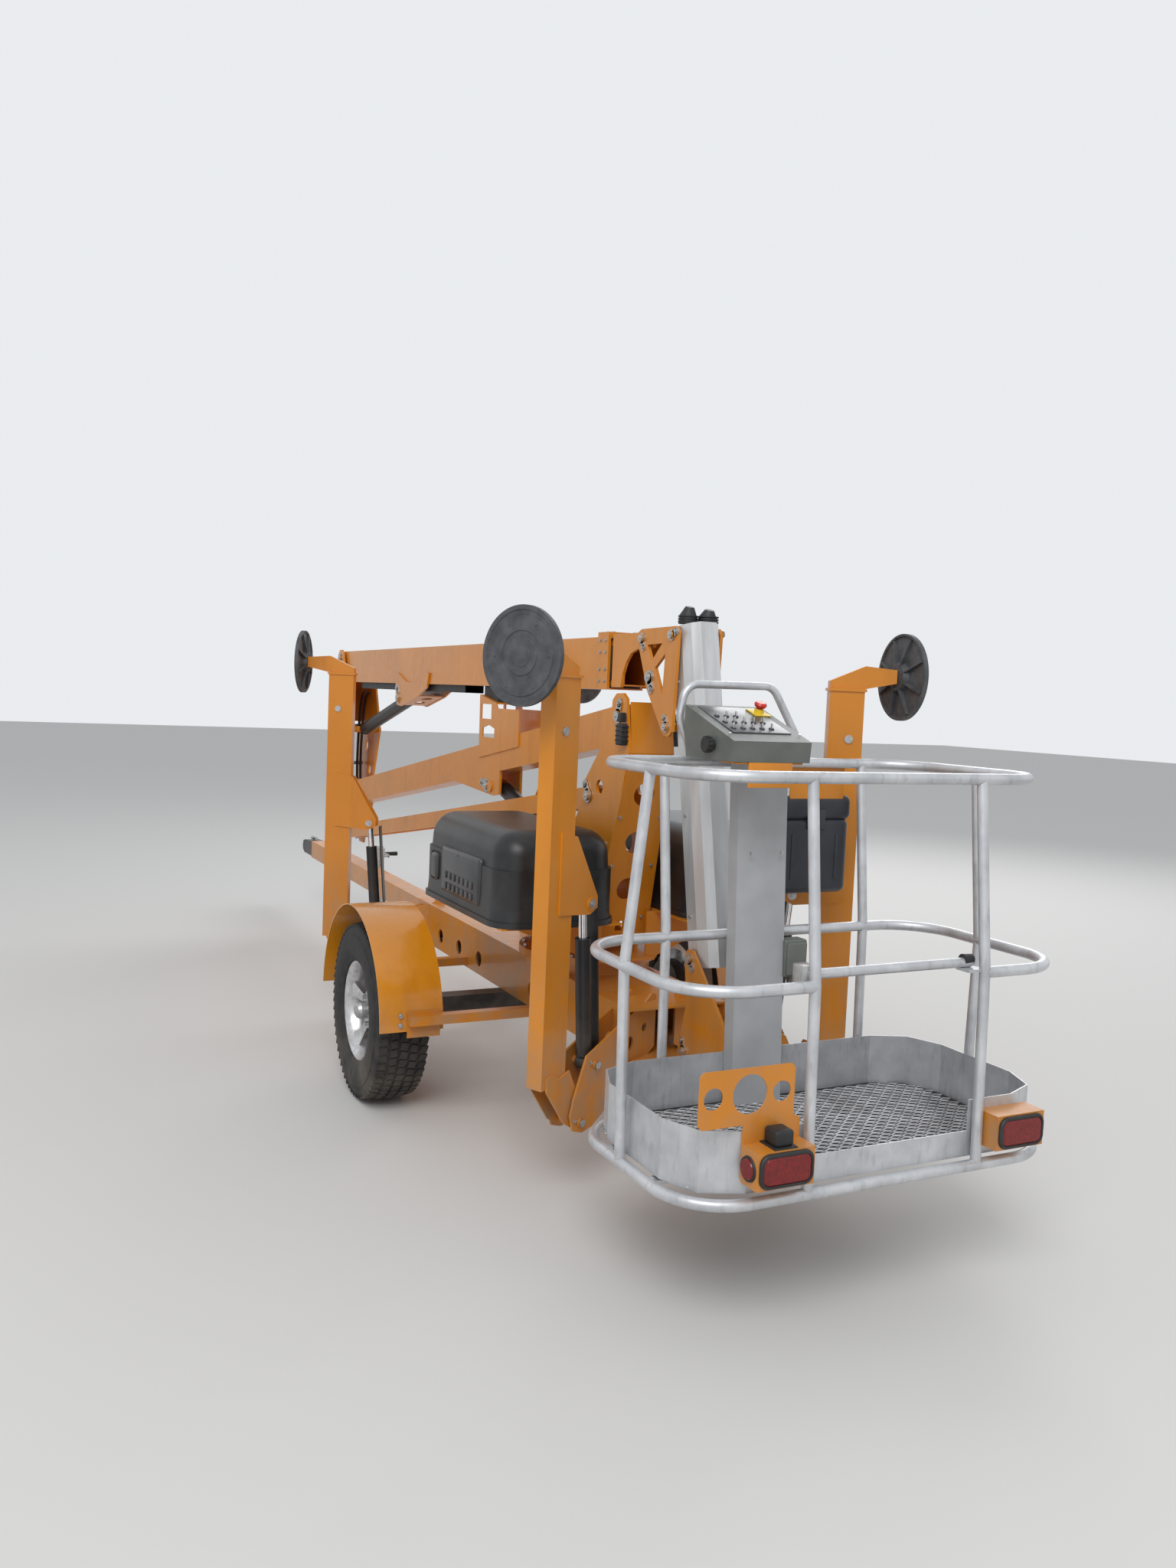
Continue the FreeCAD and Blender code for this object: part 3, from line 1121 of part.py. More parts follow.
def make_fly():
    """The inner boom and its head: two plates cut away below, that the knuckle's pin crosses."""
    body = body_of("fly_body")
    low = "boom_low + boom_wall + fly_room"
    top = "boom_low + boom_tall - boom_wall - fly_room"
    outer = box_points("-fly_half", low, "fly_half", top)
    pad(body, "XZ_Plane", outer, "fly_long", offset="a_back - 193 - fly_long")
    inner = box_points("-fly_half + fly_wall", f"{low} + fly_wall", "fly_half - fly_wall", f"{top} - fly_wall")
    pocket(body, "XZ_Plane", inner, "3 * fly_long")
    head = [
        ("-boom_back - 26", "boom_low + 8"), ("-a_back + 193", "boom_low + 8"), ("-a_back + 183", "boom_low + 56"),
        ("-a_back + 158", "boom_low + 101"), ("-a_back + 123", "boom_low + 134"), ("-a_back + 73", "boom_low + 148"),
        ("-head_back", f"{PIN_A_Z} - 33"), ("-head_back", f"{PIN_A_Z} + 23"), ("-boom_back - 26", f"{PIN_A_Z} + 23"),
    ]
    bore = [("-a_back", PIN_A_Z, "small_pin + pin_play")]
    for offset in ("fly_half", "-fly_half - head_plate"):
        pad(body, "YZ_Plane", head, "head_plate", bore, offset)
    lid = box_points("-head_back + 6", f"{PIN_A_Z} + 17", "-boom_back - 30", f"{PIN_A_Z} + 23")
    pad(body, "YZ_Plane", lid, "2 * fly_half + 4", middle=True)
    place(body)
    return node("boom_inner", body)


make_fly()


# Knuckle, jib and platform bracket

def make_knuckle():
    """Two truss plates with triangular windows, joined by their pins."""
    body = body_of("knuckle_body")
    shape = [
        ("-a_back + 41", f"{PIN_A_Z} - 4"), ("-a_back + 36", f"{PIN_A_Z} + 22"), ("-a_back + 10", f"{PIN_A_Z} + 33"),
        ("-jib_pin_back - 22", f"{PIN_B_Z} + 30"), ("-jib_pin_back - 39", f"{PIN_B_Z} + 12"),
        ("-jib_pin_back - 38", f"{PIN_B_Z} - 30"), ("-d_back - 38", f"{PIN_D_Z} - 14"), ("-d_back - 14", f"{PIN_D_Z} - 33"),
        ("-d_back + 22", f"{PIN_D_Z} - 28"), ("-c_back + 27", f"{PIN_C_Z} - 33"), ("-c_back + 34", f"{PIN_C_Z} - 8"),
    ]
    upper = [
        ("-a_back - 36", f"{PIN_A_Z} - 24"), ("-jib_pin_back + 65", f"{PIN_A_Z} - 20"),
        ("-jib_pin_back + 140", f"{PIN_A_Z} - 83"),
    ]
    lower = [
        ("-jib_pin_back + 43", f"{PIN_A_Z} - 57"), ("-jib_pin_back + 52", f"{PIN_D_Z} + 108"),
        ("-jib_pin_back + 111", f"{PIN_A_Z} - 105"),
    ]
    for offset in ("knuckle_in", "-knuckle_in - knuckle_plate"):
        pad(body, "YZ_Plane", shape, "knuckle_plate", offset=offset)
        pin_pad(body, "YZ_Plane", "-c_back", PIN_C_Z, "small_pin + 8", "8",
                f"{offset} + knuckle_plate" if offset == "knuckle_in" else offset)
    for window in (upper, lower):
        pocket(body, "YZ_Plane", window, "4 * knuckle_in")
    long = "2 * (knuckle_in + knuckle_plate + 8)"
    for back, high in (("-a_back", PIN_A_Z), ("-jib_pin_back", PIN_B_Z), ("-d_back", PIN_D_Z)):
        pin_pad(body, "YZ_Plane", back, high, "small_pin", long)
    place(body)
    return node("knuckle", body)


make_knuckle()


def make_jib():
    """The jib: a round-backed aluminium tube with its two pins bored through it."""
    body = body_of("jib_body")
    front = "jib_set"
    back = "(jib_set - jib_deep)"
    section = [
        ("-jib_half + 8", front), ("jib_half - 8", front), ("jib_half", f"{front} - 10"), ("jib_half", f"{front} - 70"),
        ("jib_half - 16", f"{back} + 26"), ("jib_half - 40", back), ("-jib_half + 40", back),
        ("-jib_half + 16", f"{back} + 26"), ("-jib_half", f"{front} - 70"), ("-jib_half", f"{front} - 10"),
    ]
    pad(body, "XY_Plane", section, "jib_long + 60", offset="-jib_long - 30")
    hollow = [
        ("-jib_half + jib_wall", f"{front} - jib_wall"), ("jib_half - jib_wall", f"{front} - jib_wall"),
        ("jib_half - jib_wall", f"{front} - 68"), ("jib_half - 20", f"{back} + 28"),
        ("jib_half - 42", f"{back} + jib_wall"), ("-jib_half + 42", f"{back} + jib_wall"),
        ("-jib_half + 20", f"{back} + 28"), ("-jib_half + jib_wall", f"{front} - 68"),
    ]
    pocket(body, "XY_Plane", hollow, "4 * jib_long")
    bores = [("0", "0", "small_pin + pin_play"), ("0", "-jib_long", "small_pin + pin_play")]
    round_cut(body, "YZ_Plane", bores, "4 * jib_half")
    place(body, "0", "-jib_pin_back", PIN_B_Z, V(1, 0, 0), "-jib_lean")
    return node("jib", body)


make_jib()


def make_jib_link():
    """The pair of slim channels that keeps the platform level, ahead of the jib."""
    body = body_of("jib_link_body")
    slim = "(link_thick - 3)"
    shape = [
        (f"-{slim}", "-jib_long - small_pin - 4"), (slim, "-jib_long - small_pin - 4"), ("link_thick", "-jib_long + 40"),
        ("link_thick", "-40"), (slim, "small_pin + 4"), (f"-{slim}", "small_pin + 4"), ("-link_thick", "-40"),
        ("-link_thick", "-jib_long + 40"),
    ]
    bores = [("0", "0", "small_pin + pin_play"), ("0", "-jib_long", "small_pin + pin_play")]
    for offset in ("7", "-31"):
        pad(body, "YZ_Plane", shape, "24", bores, offset)
    for along in ("-0.3 * jib_long", "-0.7 * jib_long"):
        pin_pad(body, "YZ_Plane", "0", along, "12", "20")
    place(body, "0", "-d_back", PIN_D_Z, V(1, 0, 0), "-jib_lean")
    return node("jib_link", body)


make_jib_link()

JIB_FOOT_Y = "(-jib_pin_back - jib_long * sin(jib_lean * 1 deg))"
JIB_FOOT_Z = f"({PIN_B_Z} - jib_long * cos(jib_lean * 1 deg))"
LINK_FOOT_Y = f"({JIB_FOOT_Y} + jib_pin_back - d_back)"
LINK_FOOT_Z = f"({JIB_FOOT_Z} + {PIN_D_Z} - {PIN_B_Z})"


def make_platform_bracket():
    """Two forked plates from the jib's lower pins back to a plate on the platform's front."""
    body = body_of("platform_bracket_body")
    seat = "-plat_front - rail_rad - 4 + pin_play"
    seat_top = "floor_high + kick_tall + 60"
    shape = [
        (f"{JIB_FOOT_Y} + 34", f"{JIB_FOOT_Z} + 4"), (f"{JIB_FOOT_Y} + 16", f"{JIB_FOOT_Z} + 30"),
        (f"{JIB_FOOT_Y} - 18", f"{JIB_FOOT_Z} + 30"), (seat, seat_top), (seat, f"{LINK_FOOT_Z} - 40"),
        (f"{LINK_FOOT_Y} + 20", f"{LINK_FOOT_Z} - 40"), (f"{LINK_FOOT_Y} + 38", f"{LINK_FOOT_Z} - 14"),
        (f"{LINK_FOOT_Y} + 34", f"{LINK_FOOT_Z} + 24"), (f"{JIB_FOOT_Y} + 10", f"{JIB_FOOT_Z} / 2 + {LINK_FOOT_Z} / 2"),
    ]
    for offset in ("jib_half + 6", "-jib_half - 6 - 10"):
        pad(body, "YZ_Plane", shape, "10", offset=offset)
    back = box_points(seat, f"{LINK_FOOT_Z} - 40", f"{seat} + 10", seat_top)
    pad(body, "YZ_Plane", back, "2 * (jib_half + 16)", middle=True)
    long = "2 * (jib_half + 24)"
    pin_pad(body, "YZ_Plane", JIB_FOOT_Y, JIB_FOOT_Z, "small_pin", long)
    pin_pad(body, "YZ_Plane", LINK_FOOT_Y, LINK_FOOT_Z, "small_pin", long)
    place(body)
    return node("platform_bracket", body)


make_platform_bracket()


# Work platform

REAR = "(-plat_front - plat_deep)"


def make_tray():
    """The platform's pan: a floor sheet and a toe board round it, low across the way in."""
    edge = "(rail_rad + 4)"
    chamfer = "(plat_corner - rail_rad - 4)"
    left, right = f"plat_shift - low_half + {edge}", f"plat_shift + low_half - {edge}"
    front, rear = f"-plat_front - {edge}", f"{REAR} + {edge}"
    turn = 0.2929

    def ring(skin):
        """The pan's outline with corners of two facets, set in by skin."""
        outline = []
        for x, y, sx, sy, flip in ((left, rear, 1, 1, False), (right, rear, -1, 1, True),
                                   (right, front, -1, -1, False), (left, front, 1, -1, True)):
            arc = [
                (f"{x} + {sx} * {skin}", f"{y} + {sy} * ({skin} + {chamfer})"),
                (f"{x} + {sx} * ({skin} + {turn} * {chamfer})", f"{y} + {sy} * ({skin} + {turn} * {chamfer})"),
                (f"{x} + {sx} * ({skin} + {chamfer})", f"{y} + {sy} * {skin}"),
            ]
            outline += arc[::-1] if flip else arc
        return outline

    board = body_of("tray_body")
    pad(board, "XY_Plane", ring("0"), "kick_tall", offset="floor_high - sheet_metal")
    pocket(board, "XY_Plane", ring("sheet_metal"), "3 * floor_high", offset="floor_high")
    way_in = box_points("gate_left + 20", f"{rear} - 20", "gate_right - 20", f"{rear} + 20")
    pocket(board, "XY_Plane", way_in, "2 * (kick_tall - sill_tall)", offset="floor_high - sheet_metal + kick_tall")
    place(board)
    node("platform_tray", board)
    sheet_body = body_of("floor_body")
    pad(sheet_body, "XY_Plane", ring("(sheet_metal + 0.3)"), "sheet_metal", offset="floor_high - sheet_metal")
    place(sheet_body)
    return node("platform_floor", sheet_body)


make_tray()


def bent_wire(points, radius, closed=False):
    """A path of straight runs through the given points, with round bends."""
    count = len(points)
    bends = []
    for i in range(count):
        here = points[i]
        if not closed and i in (0, count - 1):
            bends.append((here, here, here))
            continue
        to_last = (points[i - 1] - here).normalize()
        to_next = (points[(i + 1) % count] - here).normalize()
        half = to_last.getAngle(to_next) / 2
        run = radius / math.tan(half)
        mid = here + (to_last + to_next).normalize() * (radius / math.sin(half) - radius)
        bends.append((here + to_last * run, mid, here + to_next * run))
    edges = []
    for i in range(count):
        enter, mid, leave = bends[i]
        if enter != leave:
            edges.append(Part.Arc(enter, mid, leave).toShape())
        if closed or i < count - 1:
            edges.append(Part.LineSegment(leave, bends[(i + 1) % count][0]).toShape())
    return Part.Wire(edges)


def bent_tube(points, bend, radius, closed=False):
    """A round bar swept along a bent path."""
    path = bent_wire(points, bend, closed)
    first = path.OrderedEdges[0]
    start = first.FirstParameter
    ring = Part.Circle(first.valueAt(start), first.tangentAt(start), radius).toShape()
    return path.makePipeShell([Part.Wire([ring])], True, False)


def rail_corners(level):
    """The corner points of a rail loop, from its row of half width, lead and height."""
    half, lead, high = RAILS[level]
    middle = size("plat_shift")
    front = AXLE_Y - size("plat_front") + lead
    rear = front - size("plat_deep")
    return [V(middle - half, front, high), V(middle - half, rear, high), V(middle + half, rear, high),
            V(middle + half, front, high)]


RAILS = {
    # level: half width, how far it leads the bottom rail, height
    "low": (size("low_half"), 0, size("rail_low")),
    "mid": (size("mid_half"), size("mid_lead"), size("rail_mid")),
    "top": (size("top_half"), size("top_lead"), size("rail_top")),
}
GATE_HIGH = size("rail_mid") + 24


def loose(name, shape):
    """A sub-part made from a plain shape."""
    item = doc.addObject("Part::Feature", name)
    item.Shape = shape
    return node(name, item)


def make_rails():
    """Three rail loops, the middle one open at the way in, a guard hoop, and posts that lean between them."""
    radius = size("rail_rad")
    gap = size("pin_play")
    bend = size("plat_corner")
    posts = (
        # side that the post stands on, its place along that side
        ("left", AXLE_Y - 1850), ("right", AXLE_Y - 1830), ("front", -300), ("front", 465),
        ("rear", size("gate_left")), ("rear", size("gate_right")),
    )

    def stand(side, along, level):
        corners = rail_corners(level)
        if side == "left":
            return V(corners[0].x, along, corners[0].z)
        if side == "right":
            return V(corners[2].x, along, corners[2].z)
        return V(along, corners[0].y if side == "front" else corners[1].y, corners[0].z)

    def stanchion(low, mid, top, thick):
        lower = Part.makeCylinder(thick, (mid - low).Length, low, mid - low)
        upper = Part.makeCylinder(thick, (top - mid).Length, mid, top - mid)
        return lower.fuse([Part.makeSphere(thick, mid), upper])

    loops, rooms = {}, {}
    for level in RAILS:
        corners = rail_corners(level)
        loops[level] = bent_tube(corners, bend, radius, True)
        rooms[level] = bent_tube(corners, bend, radius + gap, True)
    pieces = []
    for side, along in posts:
        low, mid, top = (stand(side, along, level) for level in ("low", "mid", "top"))
        post = stanchion(low, mid, top, radius - 1)
        if side == "rear":
            loops["mid"] = loops["mid"].cut(stanchion(low, mid, top, radius - 1 + gap))
        else:
            post = post.cut(rooms["mid"])
        pieces.append(post.cut(rooms["low"]).cut(rooms["top"]))
    left, right = size("gate_left"), size("gate_right")
    gate_line = AXLE_Y - size("plat_front") - size("plat_deep") + size("gate_inset")
    mid_rear = stand("rear", left, "mid").y
    gap_box = Part.makeBox(right - left, 80, 80, V(left, mid_rear - 40, size("rail_mid") - 40))
    loops["mid"] = loops["mid"].cut(gap_box)
    pin = Part.makeCylinder(size("gate_pin"), gate_line + 26 - mid_rear, V(left, mid_rear, GATE_HIGH), V(0, 1, 0))
    under = GATE_HIGH - size("gate_rad") - gap - 8
    rest = Part.makeBox(60, gate_line + 16 - mid_rear, 8, V(right - 60, mid_rear, under))
    pieces[-2] = pieces[-2].fuse(pin)
    pieces[-1] = pieces[-1].fuse(rest)
    hoop = [V(-192, 0, 0), V(-254, 0, 0.55), V(-236, 0, 1), V(90, 0, 1.02), V(247, 0, 0)]
    front_top = rail_corners("top")[0]
    hoop = [V(p.x, front_top.y, front_top.z + p.z * size("hoop_rise")) for p in hoop]
    loops["top"] = loops["top"].fuse(bent_tube(hoop, 55, radius - 4))
    for y in (-220, 220):
        anchor = rail_corners("low")[0 if y < 0 else 1]
        cross = Part.makeCylinder(radius - 4, 2 * size("low_half"), V(anchor.x, anchor.y + y, anchor.z + 1), V(1, 0, 0))
        loops["low"] = loops["low"].fuse(cross)
    loose("platform_rail_low", loops["low"])
    loose("platform_rail_mid", loops["mid"])
    loose("platform_rail_top", loops["top"])
    loose("platform_posts", Part.makeCompound(pieces))


make_rails()


def make_console():
    """The control post inside the front of the pan, the control box on it and the document box on the rails."""
    post = body_of("post_body")
    left, right = "post_left", "(post_left + post_wide)"
    channel = [
        (left, "0"), (left, "-post_deep"), (right, "-post_deep"), (right, "0"), (f"{right} - 4", "0"),
        (f"{right} - 4", "4 - post_deep"), (f"{left} + 4", "4 - post_deep"), (f"{left} + 4", "0"),
    ]
    under_box = "(rail_top + rail_rad)"
    rise = f"({under_box} - floor_high - 2 * pin_play - post_deep * sin(post_lean * 1 deg))"
    pad(post, "XY_Plane", channel, f"{rise} / cos(post_lean * 1 deg)")
    inner_wall = "(plat_front + rail_rad + 4 + sheet_metal + pin_play)"
    place(post, "0", f"-{inner_wall} - kick_tall * tan(post_lean * 1 deg)", "floor_high + pin_play", V(1, 0, 0),
          "-post_lean")
    node("control_post", post)
    box = body_of("console_body")
    shape = [
        ("-plat_front + 15", f"{under_box} + pin_play"), ("-plat_front - 245", f"{under_box} + pin_play"),
        ("-plat_front - 251", f"{under_box} + 62"), ("-plat_front + 30", f"{under_box} + 160"),
        ("-plat_front + 35", f"{under_box} + 90"),
    ]
    pad(box, "YZ_Plane", shape, "275", offset="-257")
    place(box)
    node("control_box", box)
    case = body_of("case_body")
    back = "(-plat_front + top_lead + rail_rad + pin_play)"
    pad(case, "YZ_Plane", box_points(back, "1042", f"{back} + 110", "1375"), "290", offset="158")
    pad(case, "YZ_Plane", box_points(back, "1370", f"{back} + 4", "rail_top + 10"), "220", offset="193")
    place(case)
    node("document_box", case)


make_console()


def make_tail():
    """Tail lamp housings behind the pan beside the gate posts, and the plate holder above the left one."""
    wall = f"({REAR} + rail_rad + 4 - pin_play)"
    holder_back = f"({wall} - plate / 2)"
    lamps = body_of("lamp_body")
    rear = f"{holder_back} - 0.3 - lamp_deep"
    lamp_rows = (
        # left, width, front face
        ("gate_left - rail_rad - 184", "178", f"{holder_back} - 0.3"), ("gate_right + rail_rad + 2", "178", wall),
    )
    for left, width, front in lamp_rows:
        pad(lamps, "YZ_Plane", box_points(rear, "440", front, "540"), width, offset=left)
    place(lamps)
    node("tail_lamps", lamps)
    holder = body_of("holder_body")
    right = "(gate_left - rail_rad - 6)"
    plate = [
        (f"{right} - 178", "450"), (right, "450"), (right, "592"), (f"{right} - 22", "602"), (f"{right} - 22", "728"),
        (f"{right} - 34", "740"), (f"{right} - 303", "740"), (f"{right} - 315", "728"), (f"{right} - 315", "602"),
        (f"{right} - 303", "590"), (f"{right} - 178", "590"),
    ]
    rings = [(f"{right} - 272", "668", "29"), (f"{right} - 161", "670", "53"), (f"{right} - 62", "668", "28")]
    pad(holder, "XZ_Plane", plate, "plate / 2", rings, f"-{wall}")
    place(holder)
    node("plate_holder", holder)


make_tail()


def make_gate():
    """The lift-up bar across the way in."""
    body = body_of("gate_body")
    high = str(GATE_HIGH)
    line = f"({REAR} + gate_inset)"
    reach = "(gate_right - rail_rad - 6 - gate_left)"
    pin_pad(body, "YZ_Plane", line, high, "gate_rad", f"{reach} - 20", f"gate_left + 20 + ({reach} - 20) / 2")
    eye = f"-{line}"
    pin_pad(body, "XZ_Plane", "gate_left", high, "gate_rad + 8", "18", eye)
    round_cut(body, "XZ_Plane", [("gate_left", high, "gate_pin + pin_play")], "60", eye)
    place(body)
    return node("gate_bar", body)


make_gate()


def check_and_export():
    """Stop on a failed object or a bad shape, then write one file per sub-part."""
    doc.recompute()
    for obj in doc.Objects:
        if "Invalid" in obj.State or "Error" in obj.State:
            raise RuntimeError(f"{obj.Name} ({obj.Label}) is {obj.State}")
    for name, obj in NODES.items():
        shape = obj.Shape
        if shape.isNull() or not shape.isValid() or not shape.Solids:
            raise RuntimeError(f"{name} has a bad shape")
    for name, obj in NODES.items():
        obj.Shape.exportStep(f"parts/{name}.step")
    print(len(NODES), "sub-parts written")


check_and_export()
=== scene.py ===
import math

import bmesh
import bpy
from mathutils import Matrix, Vector


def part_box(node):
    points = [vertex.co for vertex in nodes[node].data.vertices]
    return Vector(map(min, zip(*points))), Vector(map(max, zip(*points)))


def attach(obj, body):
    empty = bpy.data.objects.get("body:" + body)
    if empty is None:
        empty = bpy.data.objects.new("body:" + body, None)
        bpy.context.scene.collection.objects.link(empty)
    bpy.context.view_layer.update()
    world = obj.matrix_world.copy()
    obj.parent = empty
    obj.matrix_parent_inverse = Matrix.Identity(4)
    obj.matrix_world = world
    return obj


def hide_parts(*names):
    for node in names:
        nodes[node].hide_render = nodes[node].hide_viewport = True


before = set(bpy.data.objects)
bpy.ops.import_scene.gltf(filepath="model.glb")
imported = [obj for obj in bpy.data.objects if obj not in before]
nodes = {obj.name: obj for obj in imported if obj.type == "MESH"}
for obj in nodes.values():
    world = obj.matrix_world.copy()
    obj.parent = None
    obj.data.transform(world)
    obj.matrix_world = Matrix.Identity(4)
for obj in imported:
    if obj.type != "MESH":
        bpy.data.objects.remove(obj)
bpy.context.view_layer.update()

# Studio
# The machine stands on a plain pale floor under a soft, even sky, with one broad lamp behind the viewer's
# left shoulder and a weaker one across from it. The camera stands low behind the platform's left corner.
scene = bpy.context.scene
scene.view_settings.view_transform = "Standard"

floor_form = bmesh.new()
bmesh.ops.create_grid(floor_form, x_segments=6, y_segments=6, size=40)
floor_mesh = bpy.data.meshes.new("studio_floor")
floor_form.to_mesh(floor_mesh)
floor_form.free()
studio_floor = bpy.data.objects.new("studio_floor", floor_mesh)
scene.collection.objects.link(studio_floor)
floor_finish = bpy.data.materials.new("pale_floor")
floor_finish.use_nodes = True
floor_shader = floor_finish.node_tree.nodes["Principled BSDF"]
floor_shader.inputs["Base Color"].default_value = (0.72, 0.71, 0.69, 1)
floor_shader.inputs["Roughness"].default_value = 0.85
floor_mesh.materials.append(floor_finish)

sky = bpy.data.worlds.new("soft_sky")
scene.world = sky
sky.use_nodes = True
sky_tree = sky.node_tree
sky_light = sky_tree.nodes["Background"]
sky_light.inputs["Color"].default_value = (0.93, 0.96, 1.0, 1)
sky_light.inputs["Strength"].default_value = 0.55
sky_seen = sky_tree.nodes.new("ShaderNodeBackground")
sky_seen.inputs["Color"].default_value = (0.82, 0.84, 0.86, 1)
sky_seen.inputs["Strength"].default_value = 1.0
ray_kind = sky_tree.nodes.new("ShaderNodeLightPath")
either = sky_tree.nodes.new("ShaderNodeMath")
either.operation = "MAXIMUM"
clear_too = sky_tree.nodes.new("ShaderNodeMath")
clear_too.operation = "MAXIMUM"
choose = sky_tree.nodes.new("ShaderNodeMixShader")
sky_tree.links.new(ray_kind.outputs["Is Camera Ray"], either.inputs[0])
sky_tree.links.new(ray_kind.outputs["Is Glossy Ray"], either.inputs[1])
sky_tree.links.new(either.outputs[0], clear_too.inputs[0])
sky_tree.links.new(ray_kind.outputs["Is Transmission Ray"], clear_too.inputs[1])
sky_tree.links.new(clear_too.outputs[0], choose.inputs[0])
sky_tree.links.new(sky_light.outputs[0], choose.inputs[1])
sky_tree.links.new(sky_seen.outputs[0], choose.inputs[2])
sky_tree.links.new(choose.outputs[0], sky_tree.nodes["World Output"].inputs["Surface"])

for lamp_name, place, power, width in (
    ("broad_lamp", (-5.0, -8.5, 8.5), 620, 6.0),
    ("far_lamp", (6.5, 4.0, 6.5), 260, 5.0),
):
    lamp = bpy.data.lights.new(lamp_name, "AREA")
    lamp.energy = power
    lamp.size = width
    lamp_object = bpy.data.objects.new(lamp_name, lamp)
    lamp_object.location = place
    aim = Vector((0, -0.6, 1.0)) - Vector(place)
    lamp_object.rotation_euler = aim.to_track_quat("-Z", "Y").to_euler()
    scene.collection.objects.link(lamp_object)

yaw, pitch, roll = (math.radians(a) for a in (26.28, 4.144, 2.413))
ahead = Vector((math.sin(yaw) * math.cos(pitch), math.cos(yaw) * math.cos(pitch), -math.sin(pitch)))
level = Vector((math.cos(yaw), -math.sin(yaw), 0))
upward = level.cross(ahead)
across = level * math.cos(roll) + upward * math.sin(roll)
upright = -level * math.sin(roll) + upward * math.cos(roll)
lens = bpy.data.cameras.new("photo_camera")
lens.sensor_fit = "VERTICAL"
film_tall = 36
focal_pixels, frame_pixels = 1575.39, 2048
lens.sensor_height = film_tall
lens.lens = film_tall * focal_pixels / frame_pixels
photo_camera = bpy.data.objects.new("photo_camera", lens)
photo_camera.matrix_world = Matrix((across, upright, -ahead)).transposed().to_4x4()
photo_camera.location = (-2.1692, -5.8119, 1.6729)
scene.collection.objects.link(photo_camera)
scene.camera = photo_camera

# Lift paint
# Booms, tower, frame, outriggers and brackets are welded steel with an orange-yellow enamel: a faint orange
# peel, a slightly uneven tone, road dust low down and a film of clear gloss.


def new_finish(name, roughness, metallic=0.0):
    """A material with its tree, its shader and the place on the surface that patterns read."""
    finish = bpy.data.materials.new(name)
    finish.use_nodes = True
    tree = finish.node_tree
    shader = tree.nodes["Principled BSDF"]
    shader.inputs["Roughness"].default_value = roughness
    shader.inputs["Metallic"].default_value = metallic
    where = tree.nodes.new("ShaderNodeTexCoord").outputs["Object"]
    return finish, tree, shader, where


def grain(tree, where, scale, detail=4.0, stretch=None):
    """A noise pattern, drawn out along one way where stretch is given."""
    noise = tree.nodes.new("ShaderNodeTexNoise")
    noise.inputs["Scale"].default_value = scale
    noise.inputs["Detail"].default_value = detail
    source = where
    if stretch is not None:
        turn = tree.nodes.new("ShaderNodeMapping")
        turn.inputs["Scale"].default_value = stretch
        tree.links.new(where, turn.inputs["Vector"])
        source = turn.outputs["Vector"]
    tree.links.new(source, noise.inputs["Vector"])
    return noise.outputs["Fac"]


def ramp(tree, factor, *stops):
    """Colours or greys along a factor; each stop is a place and a colour."""
    node = tree.nodes.new("ShaderNodeValToRGB")
    bar = node.color_ramp
    bar.elements[0].position, bar.elements[0].color = stops[0][0], (*stops[0][1], 1)
    bar.elements[1].position, bar.elements[1].color = stops[-1][0], (*stops[-1][1], 1)
    for place, colour in stops[1:-1]:
        bar.elements.new(place).color = (*colour, 1)
    tree.links.new(factor, node.inputs["Fac"])
    return node.outputs["Color"]


def blended(tree, factor, first, second, kind="MIX"):
    """Two colours mixed by a factor."""
    node = tree.nodes.new("ShaderNodeMix")
    node.data_type = "RGBA"
    node.blend_type = kind
    if isinstance(factor, float):
        node.inputs[0].default_value = factor
    else:
        tree.links.new(factor, node.inputs[0])
    for socket, value in ((node.inputs[6], first), (node.inputs[7], second)):
        if isinstance(value, tuple):
            socket.default_value = (*value, 1)
        else:
            tree.links.new(value, socket)
    return node.outputs[2]


def relief(tree, shader, height, depth, strength=1.0):
    """Raises the surface by a height pattern, in metres."""
    bump = tree.nodes.new("ShaderNodeBump")
    bump.inputs["Distance"].default_value = depth
    bump.inputs["Strength"].default_value = strength
    tree.links.new(height, bump.inputs["Height"])
    tree.links.new(bump.outputs["Normal"], shader.inputs["Normal"])


def road_dust(tree, where, low, high):
    """How much dust lies on a place: most at the low height, none above the high one, in patches."""
    parts = tree.nodes.new("ShaderNodeSeparateXYZ")
    tree.links.new(where, parts.inputs[0])
    fall = tree.nodes.new("ShaderNodeMapRange")
    fall.inputs["From Min"].default_value = low
    fall.inputs["From Max"].default_value = high
    fall.inputs["To Min"].default_value = 1.0
    fall.inputs["To Max"].default_value = 0.0
    tree.links.new(parts.outputs["Z"], fall.inputs["Value"])
    patch = ramp(tree, grain(tree, where, 9.0, 6.0), (0.35, (0.0, 0.0, 0.0)), (0.75, (1.0, 1.0, 1.0)))
    product = tree.nodes.new("ShaderNodeMath")
    product.operation = "MULTIPLY"
    tree.links.new(fall.outputs["Result"], product.inputs[0])
    tree.links.new(patch, product.inputs[1])
    return product.outputs[0]


